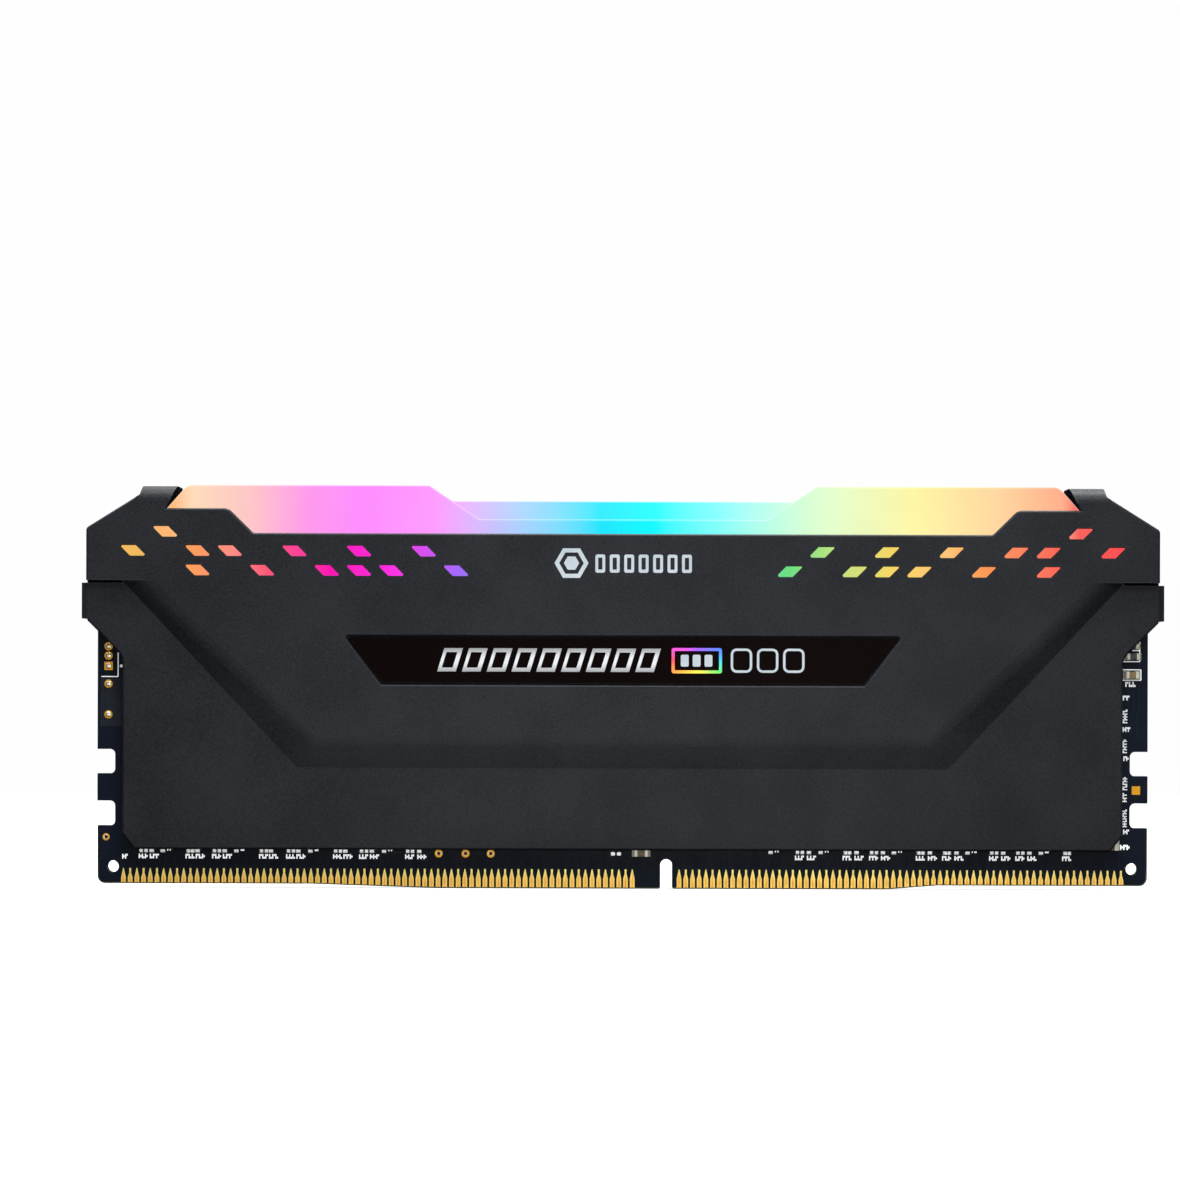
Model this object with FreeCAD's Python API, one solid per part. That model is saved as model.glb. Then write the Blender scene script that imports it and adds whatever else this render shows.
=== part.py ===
import FreeCAD, Part
import math
import os

Vec = FreeCAD.Vector

# Memory module: a circuit board with an edge connector, held between two stamped heat
# spreaders, with a translucent light bar along its top. Millimetres.
# X runs along the module, Z rises from the connector edge and Y goes through the thickness,
# with the show side facing -Y. A "depth" is a distance from the board's middle plane.
# The origin is under the middle of the connector edge.

SHORTEST_EDGE = 1e-5

# Circuit board
BOARD_HALF_LENGTH = 66.675
BOARD_DEPTH = 0.7
BOARD_TOP = 43.0
BOARD_CORNER_RADIUS = 1.0
EDGE_RISE = 0.5
EDGE_RAMP_LEFT = (-39.6, -23.5)
EDGE_RAMP_RIGHT = (33.5, 40.0)
EDGE_CHAMFER = 0.2
KEY_CENTRE = 5.575
KEY_WIDTH = 1.5
KEY_TOP = 3.75
KEY_MOUTH_RADIUS = 0.3
LATCH_NOTCH_DEPTH = 2.25
LATCH_NOTCH_RADIUS = 0.65
LATCH_NOTCHES = ((7.85, 11.0), (14.45, 17.55))
TOOLING_HOLE_X = 64.7
TOOLING_HOLE_Z = 2.65
TOOLING_HOLE_RADIUS = 0.75

# Edge connector contacts, the same on both faces
CONTACT_PITCH = 0.85
CONTACT_WIDTH = 0.6
CONTACT_THICKNESS = 0.05
CONTACT_SETBACK = 0.15
CONTACT_SHOULDER = 1.25
CONTACT_NECK_START = 1.85
CONTACT_TIP = 2.45
CONTACT_NECK_WIDTH = 0.24
CONTACT_POINT_WIDTH = 0.1
CONTACT_ROWS = ((-63.325, 77), (7.225, 67))

# Heat spreader sheets
SHEET = 0.8
RAISED_DEPTH = 4.0
RECESS_DEPTH = 3.0
STEP_Z = 38.9
STEP_WALL = 0.58
GROOVE_HEIGHT = 0.3
GROOVE_DEPTH = 0.5
GROOVE_START = 63.27
SLOPE_FOOT_LOW = (41.1, 15.32)
SLOPE_FOOT_HIGH = (63.27, STEP_Z)
SLOPE_CREST_LOW = (38.7, 18.65)
SLOPE_CREST_HIGH = (61.1, STEP_Z)
SLOPE_OVERRUN = 1.0
CREST_RADIUS = 4.5
INNER_SLOPE_INSET = 0.2
EDGE_ROUNDING = 0.3
SPREADER_BOTTOM = 4.96
SPREADER_MIDDLE_TOP = 44.9
WING_HALF_LENGTH = 67.7

# Clips: straps over the top and tabs round the ends
STRAP_TOP = 50.85
STRAP_BEND_RADIUS = 1.95
STRAP_FOOT = STRAP_TOP - STRAP_BEND_RADIUS
STRAP_REAR_END = 48.75
STRAP_SEAM = 0.15
STRAP_SPAN = (55.5, 61.5)
STRAP_EDGE_HIGH = (56.35, STRAP_TOP)
STRAP_EDGE_LOW = (57.6, 48.0)
CHEEK_SETBACK = 0.15
CHEEK_FOOT = 48.13
CHEEK_REAR_DEPTH = 3.1
TAB_RANGE = (34.1, 38.6)
TAB_BEND_RADIUS = 0.95
TAB_BEND_CENTRE_DEPTH = 2.05
OUTER_TAB_BEND_X = 67.55
OUTER_TAB_REACH = 1.2
INNER_TAB_BEND_X = 66.7
INNER_TAB_REACH = 1.6
TAB_WINDOW_Y = (-1.2, 0.2)
TAB_WINDOW_Z = (35.3, 37.1)
BARB_HEIGHT = 0.5

# Slanted windows that let the light through the show side and the rear
WINDOW_ORIGIN = 61.82
WINDOW_PITCH = 4.076
WINDOW_ROWS = ((45.1, (1,)), (42.69, (0, 2, 3, 5, 7, 9)), (40.24, (2, 4, 6, 7, 8, 10)))
WINDOW_WIDTH = 2.2
WINDOW_HEIGHT = 1.41
WINDOW_SHEAR = 1.41
WINDOW_SHARP_RADIUS = 0.2
WINDOW_BLUNT_RADIUS = 0.35

# Label pocket and the plates that sit in it
POCKET_DEPTH = 0.45
POCKET_RIM = ((35.4, 32.17), (30.5, 25.66))
POCKET_FLOOR = ((34.85, 31.82), (30.4, 26.03))
POCKET_RIM_RADIUS = 0.4
POCKET_FLOOR_RADIUS = 0.15
PLATE_GAP = 0.04
PLATE_THICKNESS = 0.35

# Light bar
BAR_DEPTH = 3.1
BAR_SKIRT_X = 66.9
BAR_SKIRT_Z = 39.4
BAR_SLOT_DEPTH = 1.9
BAR_SLOT_TOP = 44.4
BAR_TOP = 51.0
BAR_END = (57.65, 48.05)
BAR_SHELF_TOP = 46.77
BAR_RIDGE_TOP = 49.12
BAR_RIDGE_TOP_DEPTH = 1.4
BAR_RIDGE_HALF_LENGTH = 21.5
BAR_ROUNDING = 0.4

# Chips and small parts on the board
DRAM_SIZE = (7.5, 11.0, 0.85)
DRAM_STANDOFF = 0.25
DRAM_FIRST_X = 13.5
DRAM_PITCH = 14.2
DRAM_CENTRE_Z = 13.0
BALL_PITCH = 0.8
BALL_RADIUS = 0.22
BALL_ROWS = 13
BALL_COLUMNS = (-3, -2, -1, 1, 2, 3)
LED_SIZE = (2.0, 2.0, 0.8)
LED_FIRST_X = -54.9
LED_PITCH = 12.2
LED_CENTRE_Z = 41.4
LED_COUNT = 10
ARRAY_SIZE = (1.0, 1.0, 0.35)
CHIP_PART_SIZE = (0.55, 1.0, 0.4)
SMALL_PART_Z = 4.95
CAPACITOR_HEIGHT = 0.8
LEAD_HEIGHT = 0.2
LEAD_WIDTH = 0.25
BODY_LIFT = 0.02
CONTROLLER_PLACE = (0.0, 30.0)
CONTROLLER_SIZE = (4.0, 4.0, 0.8)
EEPROM_PLACE = (0.0, 12.0)
EEPROM_SIZE = (2.0, 3.0, 0.75)
REGULATOR_PLACE = (-9.0, 30.0)
REGULATOR_SIZE = (2.9, 1.6, 1.0)
INDUCTOR_PLACE = (-14.0, 30.0)
INDUCTOR_SIZE = (3.0, 3.0, 1.4)
INDUCTOR_CORNER_RADIUS = 0.5

# Small parts in the strip below the spreaders, as centre x
ARRAY_X = (
    -60.77, -54.83, -51.46, -45.49, -42.06, -36.09, -32.79, -26.94,
    22.56, 28.61, 31.97, 37.91, 41.24, 47.22, 50.55, 56.49,
)
CAPACITOR_X = (
    -59.75, -53.92, -50.47, -44.61, -41.13, -35.16, -31.79, -25.78,
    23.7, 29.74, 33.1, 39.06, 42.43, 48.37, 51.69,
)
RESISTOR_X = (-58.34, -49.0, -39.6, -30.25, 18.84, 25.19, 34.5, 43.84, 53.14)
# Larger capacitors, as centre x, centre z, width and height
BULK_CAPACITORS = (
    (2.39, 4.6, 1.7, 1.05),
    (61.75, 5.65, 2.1, 1.25),
    (64.65, 27.3, 1.6, 0.95),
    (64.75, 29.65, 1.6, 0.85),
    (64.8, 30.95, 1.3, 0.7),
)

# Soft thermal pads
PAD_HALF_LENGTH = 60.5
PAD_RANGE = (7.0, 20.0)

# Test pads, as (x, z) centres
TEST_PAD_BORE = 0.2
ROUND_PAD_RADIUS = 0.52
ROUND_PADS = ((-65.3, 30.6), (-65.3, 29.4), (-65.3, 25.85), (-65.3, 21.95))
SQUARE_PAD = (-65.3, 28.1)
SQUARE_PAD_SIZE = 1.06
GROUND_PAD = (65.2, 12.66)
EDGE_PAD = (-65.55, 6.4)
EDGE_PAD_RADIUS = 0.46
VIA_PADS = ((-23.3, 4.4), (-19.9, 4.4), (-16.7, 4.4))
VIA_PAD_RADIUS = 0.5
VIA_PAD_BORE = 0.2


def outline_wire(points, y):
    """Closed wire in the plane at y through (x, z, corner radius) points."""
    corners = []
    count = len(points)
    for index, (x, z, radius) in enumerate(points):
        here = Vec(x, y, z)
        if radius == 0:
            corners.append((here, None, here))
            continue
        before = points[index - 1]
        after = points[(index + 1) % count]
        to_before = (Vec(before[0], y, before[1]) - here).normalize()
        to_after = (Vec(after[0], y, after[1]) - here).normalize()
        half_angle = to_before.getAngle(to_after) / 2
        reach = radius / math.tan(half_angle)
        bisector = (to_before + to_after).normalize()
        middle = here + bisector * (radius / math.sin(half_angle) - radius)
        corners.append((here + to_before * reach, middle, here + to_after * reach))
    edges = []
    for index, (start, middle, end) in enumerate(corners):
        previous_end = corners[index - 1][2]
        if previous_end.distanceToPoint(start) > SHORTEST_EDGE:
            edges.append(Part.makeLine(previous_end, start))
        if middle is not None:
            edges.append(Part.Arc(start, middle, end).toShape())
    return Part.Wire(edges)


def prism(points, y_from, y_to):
    """Solid with the outline's shape in XZ, between two values of y."""
    face = Part.Face(outline_wire(points, y_from))
    return face.extrude(Vec(0, y_to - y_from, 0))


def taper(points_from, y_from, points_to, y_to):
    """Solid with straight sides between two outlines with the same number of corners."""
    wires = [outline_wire(points_from, y_from), outline_wire(points_to, y_to)]
    return Part.makeLoft(wires, True, True)


def box(x_range, y_range, z_range):
    """Box between the two ends of each range."""
    corner = Vec(x_range[0], y_range[0], z_range[0])
    sizes = [span[1] - span[0] for span in (x_range, y_range, z_range)]
    return Part.makeBox(sizes[0], sizes[1], sizes[2], corner)


def block(x, z, width, height, depth_from, depth_to):
    """Box centred on (x, z) that rises from the show face of the board, towards -Y."""
    x_range = (x - width / 2, x + width / 2)
    z_range = (z - height / 2, z + height / 2)
    return box(x_range, (-depth_to, -depth_from), z_range)


def both_halves(right_half):
    """Whole outline from its right half, listed from the bottom to the top."""
    left_half = [(-x, z, radius) for x, z, radius in reversed(right_half)]
    return right_half + left_half


def trapezoid(top, bottom, top_radius=0, bottom_radius=0):
    """Symmetric outline from its top right and bottom right corners."""
    return both_halves([(bottom[0], bottom[1], bottom_radius), (top[0], top[1], top_radius)])


def at_other_end(shape):
    """The shape mirrored to the other end of the module."""
    return shape.mirror(Vec(0, 0, 0), Vec(1, 0, 0))


def on_rear(shape):
    """The shape mirrored to the rear side of the module."""
    return shape.mirror(Vec(0, 0, 0), Vec(0, 1, 0))


def on_both_ends(shape):
    """The shape and its mirror image as one compound tool."""
    return Part.makeCompound([shape, at_other_end(shape)])


def spaced(start, step, count):
    """A row of evenly spaced values."""
    return [start + step * index for index in range(count)]


# ---------------------------------------------------------------- circuit board

def edge_height(x):
    """Height of the connector edge: it is lowest in the middle and ramps up to both ends."""
    for inner, outer in (EDGE_RAMP_LEFT[::-1], EDGE_RAMP_RIGHT):
        share = (x - inner) / (outer - inner)
        if share > 0:
            return EDGE_RISE * min(share, 1)
    return 0.0


def latch_notch(z_range):
    """Cutter for one notch in the right end of the board."""
    inner_x = BOARD_HALF_LENGTH - LATCH_NOTCH_DEPTH
    outer_x = BOARD_HALF_LENGTH + 1
    outline = [
        (inner_x, z_range[0], LATCH_NOTCH_RADIUS),
        (outer_x, z_range[0], 0),
        (outer_x, z_range[1], 0),
        (inner_x, z_range[1], LATCH_NOTCH_RADIUS),
    ]
    return prism(outline, -1, 1)


def key_notch():
    """Cutter for the key notch, with a round top and a flared mouth."""
    half = KEY_WIDTH / 2
    flare = half + KEY_MOUTH_RADIUS
    outline = [
        (KEY_CENTRE - flare, 0, 0),
        (KEY_CENTRE - flare, -1, 0),
        (KEY_CENTRE + flare, -1, 0),
        (KEY_CENTRE + flare, 0, 0),
        (KEY_CENTRE + half, 0, KEY_MOUTH_RADIUS),
        (KEY_CENTRE + half, KEY_TOP, half * 0.99),
        (KEY_CENTRE - half, KEY_TOP, half * 0.99),
        (KEY_CENTRE - half, 0, KEY_MOUTH_RADIUS),
    ]
    return prism(outline, -1, 1)


def make_circuit_board():
    """Board with its curved connector edge, notches and tooling holes."""
    outline = [
        (-BOARD_HALF_LENGTH, EDGE_RISE, BOARD_CORNER_RADIUS),
        (EDGE_RAMP_LEFT[0], EDGE_RISE, 0),
        (EDGE_RAMP_LEFT[1], 0, 0),
        (EDGE_RAMP_RIGHT[0], 0, 0),
        (EDGE_RAMP_RIGHT[1], EDGE_RISE, 0),
        (BOARD_HALF_LENGTH, EDGE_RISE, BOARD_CORNER_RADIUS),
        (BOARD_HALF_LENGTH, BOARD_TOP, 0),
        (-BOARD_HALF_LENGTH, BOARD_TOP, 0),
    ]
    board = prism(outline, -BOARD_DEPTH, BOARD_DEPTH)
    cutters = [on_both_ends(latch_notch(z_range)) for z_range in LATCH_NOTCHES]
    hole_start = Vec(TOOLING_HOLE_X, -1, TOOLING_HOLE_Z)
    hole = Part.makeCylinder(TOOLING_HOLE_RADIUS, 2, hole_start, Vec(0, 1, 0))
    cutters.append(on_both_ends(hole))
    board = board.cut(cutters)
    lowest = EDGE_RISE + 0.01
    connector_edges = []
    for edge in board.Edges:
        bounds = edge.BoundBox
        flat = bounds.YLength < 0.01 and bounds.XLength > 1.2
        if flat and bounds.ZMax < lowest:
            connector_edges.append(edge)
    board = board.makeChamfer(EDGE_CHAMFER, connector_edges)
    return board.cut(key_notch())


# ---------------------------------------------------------------- contacts

def contact(x, necked):
    """One gold finger on the show face, pointed or with a neck at its top."""
    bottom = edge_height(x) + CONTACT_SETBACK
    half = CONTACT_WIDTH / 2
    right = [(half, bottom, 0), (half, CONTACT_SHOULDER, 0)]
    tip_half = CONTACT_POINT_WIDTH / 2
    if necked:
        tip_half = CONTACT_NECK_WIDTH / 2
        right.append((tip_half, CONTACT_NECK_START, 0))
    right.append((tip_half, CONTACT_TIP, 0))
    outline = [(x + dx, z, radius) for dx, z, radius in both_halves(right)]
    return prism(outline, -BOARD_DEPTH - CONTACT_THICKNESS, -BOARD_DEPTH)


def make_contacts():
    """All the contacts of one face; necked and pointed ones alternate in groups of seven."""
    contacts = []
    for start, count in CONTACT_ROWS:
        for index, x in enumerate(spaced(start, CONTACT_PITCH, count)):
            contacts.append(contact(x, index % 7 in (1, 3, 5)))
    return Part.makeCompound(contacts)


def round_pad(x, z, radius, bore):
    """Ring-shaped plated pad on the show face."""
    base = Vec(x, -BOARD_DEPTH, z)
    pad = Part.makeCylinder(radius, CONTACT_THICKNESS, base, Vec(0, -1, 0))
    return pad.cut(Part.makeCylinder(bore, 1, base, Vec(0, -1, 0)))


def make_test_pads():
    """Plated test pads near both ends and in the strip below the spreader."""
    outer = BOARD_DEPTH + CONTACT_THICKNESS
    size = SQUARE_PAD_SIZE
    pads = [round_pad(x, z, ROUND_PAD_RADIUS, TEST_PAD_BORE) for x, z in ROUND_PADS]
    pads += [round_pad(x, z, VIA_PAD_RADIUS, VIA_PAD_BORE) for x, z in VIA_PADS]
    pads.append(round_pad(EDGE_PAD[0], EDGE_PAD[1], EDGE_PAD_RADIUS, TEST_PAD_BORE))
    pads.append(block(GROUND_PAD[0], GROUND_PAD[1], size, size, BOARD_DEPTH, outer))
    square = block(SQUARE_PAD[0], SQUARE_PAD[1], size, size, BOARD_DEPTH, outer)
    bore_start = Vec(SQUARE_PAD[0], -BOARD_DEPTH, SQUARE_PAD[1])
    pads.append(square.cut(Part.makeCylinder(TEST_PAD_BORE, 1, bore_start, Vec(0, -1, 0))))
    return Part.makeCompound(pads)


# ---------------------------------------------------------------- heat spreaders

def spreader_outline(top_of_end):
    """Outline of a spreader: wings at both ends and a stepped top edge."""
    right_half = [
        (61.65, SPREADER_BOTTOM, 0),
        (63.2, 6.9, 0),
        (63.2, 29.35, 2.0),
        (WING_HALF_LENGTH, 33.85, 0.2),
        (WING_HALF_LENGTH, 45.5, 0.6),
    ]
    right_half += top_of_end
    right_half += [
        (*STRAP_EDGE_LOW, 0),
        (49.8, STRAP_EDGE_LOW[1], 1.2),
        (46.65, SPREADER_MIDDLE_TOP, 0.8),
    ]
    return both_halves(right_half)


FRONT_TOP = [(60.95, 49.72, 0.3), (60.7, STRAP_TOP, 0), (*STRAP_EDGE_HIGH, 0)]
REAR_TOP_Z = STRAP_REAR_END - STRAP_SEAM
REAR_TOP = [(62.74, REAR_TOP_Z, 0.3), (57.35, REAR_TOP_Z, 0)]


def slope_outline(low, high, inset):
    """Trapezoid of the raised middle, run on past the step so that it joins the top."""
    lean = (high[0] - low[0]) / (high[1] - low[1])
    top = (high[0] + lean * SLOPE_OVERRUN - inset, high[1] + SLOPE_OVERRUN)
    bottom = (low[0] - inset, low[1] + inset)
    return trapezoid(top, bottom)


def envelope(thinner, inset, crest_radius):
    """Solid behind one surface of the sheet: recessed below, raised in the middle and on top."""
    recess = RECESS_DEPTH - thinner
    raised = RAISED_DEPTH - thinner
    wide = WING_HALF_LENGTH + 2
    step_z = STEP_Z + (STEP_WALL if thinner else 0)
    low = box((-wide, wide), (-recess, 0), (0, step_z + 0.1))
    high = box((-wide, wide), (-raised, 0), (step_z, STRAP_TOP + 1))
    foot = slope_outline(SLOPE_FOOT_LOW, SLOPE_FOOT_HIGH, inset)
    crest = slope_outline(SLOPE_CREST_LOW, SLOPE_CREST_HIGH, inset)
    middle = taper(foot, -recess, crest, -raised)
    if crest_radius:
        crest_edges = []
        for edge in middle.Edges:
            bounds = edge.BoundBox
            on_crest = bounds.YMax < -raised + 0.01
            if on_crest and bounds.ZMin < STEP_Z:
                crest_edges.append(edge)
        middle = middle.makeFillet(crest_radius, crest_edges)
    return low.fuse([middle, high]).removeSplitter()


def window(x, z, side):
    """Cutter for one slanted window; the top leans outward."""
    half = WINDOW_WIDTH / 2
    rise = WINDOW_HEIGHT / 2
    lean = side * WINDOW_SHEAR / 2
    radii = (WINDOW_SHARP_RADIUS, WINDOW_BLUNT_RADIUS)
    if side < 0:
        radii = radii[::-1]
    outline = [
        (x - half - lean, z - rise, radii[0]),
        (x + half - lean, z - rise, radii[1]),
        (x + half + lean, z + rise, radii[0]),
        (x - half + lean, z + rise, radii[1]),
    ]
    return prism(outline, -RAISED_DEPTH - 1, 0)


def window_cutters():
    """All the windows of one spreader, in three staggered rows."""
    cutters = []
    for z, places in WINDOW_ROWS:
        for place in places:
            x = WINDOW_ORIGIN - WINDOW_PITCH * place
            for side in (-1, 1):
                cutters.append(window(side * x, z, side))
    return cutters


def pocket_cutter():
    """Cutter for the shallow label pocket with sloping walls."""
    floor = trapezoid(*POCKET_FLOOR, POCKET_FLOOR_RADIUS, POCKET_FLOOR_RADIUS)
    rim = trapezoid(*POCKET_RIM, POCKET_RIM_RADIUS, POCKET_RIM_RADIUS)
    return taper(floor, -RAISED_DEPTH + POCKET_DEPTH, rim, -RAISED_DEPTH)


def edges_on_outline(shape, outline, depth):
    """Edges of the sheet's outer face, at this depth, that lie on its outline."""
    wire = outline_wire(outline, -depth)
    found = []
    for edge in shape.Edges:
        bounds = edge.BoundBox
        flat = bounds.YLength < 0.001 and abs(bounds.YMin + depth) < 0.001
        if not flat:
            continue
        middle = edge.valueAt((edge.FirstParameter + edge.LastParameter) / 2)
        if Part.Vertex(middle).distToShape(wire)[0] < 0.005:
            found.append(edge)
    return found


def across(profile):
    """Solid with a (y, z) profile, over the strap's span along the module."""
    turned = outline_wire(profile, 0)
    turned.rotate(Vec(0, 0, 0), Vec(0, 0, 1), 90)
    turned.translate(Vec(STRAP_SPAN[0], 0, 0))
    return Part.Face(turned).extrude(Vec(STRAP_SPAN[1] - STRAP_SPAN[0], 0, 0))


def strap_cheek():
    """Side wall of the right strap, beside the light bar's slanted end."""
    middle = RAISED_DEPTH - SHEET / 2
    top = STRAP_TOP - SHEET / 2
    radius = STRAP_BEND_RADIUS - SHEET / 2
    profile = [
        (middle, STRAP_REAR_END, 0),
        (middle, top, radius),
        (-middle, top, radius),
        (-middle, CHEEK_FOOT, 0),
        (CHEEK_REAR_DEPTH, CHEEK_FOOT, 0),
        (CHEEK_REAR_DEPTH, STRAP_REAR_END, 0),
    ]
    outline = [
        (STRAP_EDGE_LOW[0] + CHEEK_SETBACK, STRAP_EDGE_LOW[1], 0),
        (STRAP_EDGE_LOW[0] + CHEEK_SETBACK + SHEET, STRAP_EDGE_LOW[1], 0),
        (STRAP_EDGE_HIGH[0] + CHEEK_SETBACK + SHEET, STRAP_EDGE_HIGH[1], 0),
        (STRAP_EDGE_HIGH[0] + CHEEK_SETBACK, STRAP_EDGE_HIGH[1], 0),
    ]
    return across(profile).common(prism(outline, -RAISED_DEPTH, RAISED_DEPTH))


def strap():
    """Right strap, as a bent sheet over the top from the show side to the rear."""
    outer = RAISED_DEPTH
    profile = [
        (outer, STRAP_REAR_END, 0),
        (outer, STRAP_TOP, STRAP_BEND_RADIUS),
        (-outer, STRAP_TOP, STRAP_BEND_RADIUS),
        (-outer, STRAP_FOOT, 0),
        (-outer + SHEET, STRAP_FOOT, 0),
        (-outer + SHEET, STRAP_TOP - SHEET, STRAP_BEND_RADIUS - SHEET),
        (outer - SHEET, STRAP_TOP - SHEET, STRAP_BEND_RADIUS - SHEET),
        (outer - SHEET, STRAP_REAR_END, 0),
    ]
    return across(profile)


def tab(bend_x, reach):
    """Right tab of the show-side sheet, bent round the end of the module towards the rear."""
    centre = Vec(bend_x, -TAB_BEND_CENTRE_DEPTH, TAB_RANGE[0])
    height = TAB_RANGE[1] - TAB_RANGE[0]
    inner_radius = TAB_BEND_RADIUS - SHEET
    up = Vec(0, 0, 1)
    bend = Part.makeCylinder(TAB_BEND_RADIUS, height, centre, up)
    bend = bend.cut(Part.makeCylinder(inner_radius, height, centre, up))
    corner = box((bend_x, bend_x + 2), (-RECESS_DEPTH - 1, -TAB_BEND_CENTRE_DEPTH), TAB_RANGE)
    bend = bend.common(corner)
    x_range = (bend_x + inner_radius, bend_x + TAB_BEND_RADIUS)
    plate = box(x_range, (-TAB_BEND_CENTRE_DEPTH, reach), TAB_RANGE)
    root = box((bend_x - 1, bend_x), (-RECESS_DEPTH, -RECESS_DEPTH + SHEET), TAB_RANGE)
    return root.fuse([bend, plate]).removeSplitter()


def tab_window():
    """Cutter for the snap window in an outer tab."""
    return box((WING_HALF_LENGTH - 0.5, WING_HALF_LENGTH + 2), TAB_WINDOW_Y, TAB_WINDOW_Z)


def barb():
    """Wedge on an inner tab that snaps into the window of the outer one."""
    clearance = 0.1
    base_x = INNER_TAB_BEND_X + TAB_BEND_RADIUS
    y_start = -TAB_WINDOW_Y[1] + clearance
    y_end = -TAB_WINDOW_Y[0] - clearance
    corners = [
        Vec(base_x - 0.1, y_start, TAB_WINDOW_Z[0] + clearance),
        Vec(base_x + BARB_HEIGHT, y_start, TAB_WINDOW_Z[0] + clearance),
        Vec(base_x, y_end, TAB_WINDOW_Z[0] + clearance),
        Vec(base_x - 0.1, y_end, TAB_WINDOW_Z[0] + clearance),
    ]
    face = Part.Face(Part.makePolygon(corners + corners[:1]))
    return face.extrude(Vec(0, 0, TAB_WINDOW_Z[1] - TAB_WINDOW_Z[0] - 2 * clearance))


def spreader_sheet(outline):
    """Sheet on the show side, with its raised middle, windows and rounded edges."""
    outer = envelope(0, 0, CREST_RADIUS)
    inner = envelope(SHEET, INNER_SLOPE_INSET, 0)
    sheet = outer.cut(inner)
    sheet = sheet.common(prism(outline, -RAISED_DEPTH - 1, RAISED_DEPTH + 1))
    groove_x = (GROOVE_START, WING_HALF_LENGTH + 1)
    groove_y = (-RAISED_DEPTH - 1, -RECESS_DEPTH + GROOVE_DEPTH)
    groove = box(groove_x, groove_y, (STEP_Z - GROOVE_HEIGHT, STEP_Z))
    sheet = sheet.cut([on_both_ends(groove)])
    sheet = sheet.removeSplitter()
    rounded = edges_on_outline(sheet, outline, RAISED_DEPTH)
    rounded += edges_on_outline(sheet, outline, RECESS_DEPTH)
    sheet = sheet.makeFillet(EDGE_ROUNDING, rounded)
    return sheet.cut(window_cutters() + [pocket_cutter()])


def with_tabs(sheet, bend_x, reach):
    """The sheet trimmed at both ends and given its two bent tabs."""
    trim_z = (TAB_RANGE[0], STEP_Z - GROOVE_HEIGHT)
    trim = box((bend_x, bend_x + 3), (-RECESS_DEPTH - 1, 0), trim_z)
    sheet = sheet.cut([on_both_ends(trim)])
    right = tab(bend_x, reach)
    return sheet.fuse([right, at_other_end(right)]).removeSplitter()


def make_front_spreader():
    """Show-side sheet with the straps and the outer tabs."""
    outline = spreader_outline(FRONT_TOP)
    sheet = spreader_sheet(outline)
    under_straps = (-STRAP_SPAN[1], STRAP_SPAN[1])
    above_foot = (STRAP_FOOT, STRAP_TOP + 1)
    sheet = sheet.cut(box(under_straps, (-RAISED_DEPTH - 1, 0), above_foot))
    end = strap().common(prism(outline, -RAISED_DEPTH - 1, RAISED_DEPTH + 1))
    end = end.fuse(strap_cheek())
    sheet = sheet.fuse([end, at_other_end(end)]).removeSplitter()
    sheet = with_tabs(sheet, OUTER_TAB_BEND_X, OUTER_TAB_REACH)
    return sheet.cut([on_both_ends(tab_window())])


def make_rear_spreader():
    """Rear sheet with the inner tabs and their barbs, made on the show side and mirrored."""
    sheet = spreader_sheet(spreader_outline(REAR_TOP))
    trim_x = (INNER_TAB_BEND_X, BOARD_HALF_LENGTH + 3)
    end_trim = box(trim_x, (-RAISED_DEPTH, 0), (TAB_RANGE[0] - 4, STEP_Z - GROOVE_HEIGHT))
    sheet = sheet.cut([on_both_ends(end_trim)])
    sheet = with_tabs(sheet, INNER_TAB_BEND_X, INNER_TAB_REACH)
    sheet = sheet.fuse([barb(), at_other_end(barb())])
    return on_rear(sheet)


def make_plate():
    """Thin plate that fills the label pocket of the show-side sheet."""
    top = (POCKET_FLOOR[0][0] - PLATE_GAP, POCKET_FLOOR[0][1] - PLATE_GAP)
    bottom = (POCKET_FLOOR[1][0] - PLATE_GAP, POCKET_FLOOR[1][1] + PLATE_GAP)
    outline = trapezoid(top, bottom, POCKET_FLOOR_RADIUS, POCKET_FLOOR_RADIUS)
    floor = -RAISED_DEPTH + POCKET_DEPTH
    return prism(outline, floor - PLATE_THICKNESS, floor)


# ---------------------------------------------------------------- light bar

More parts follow.
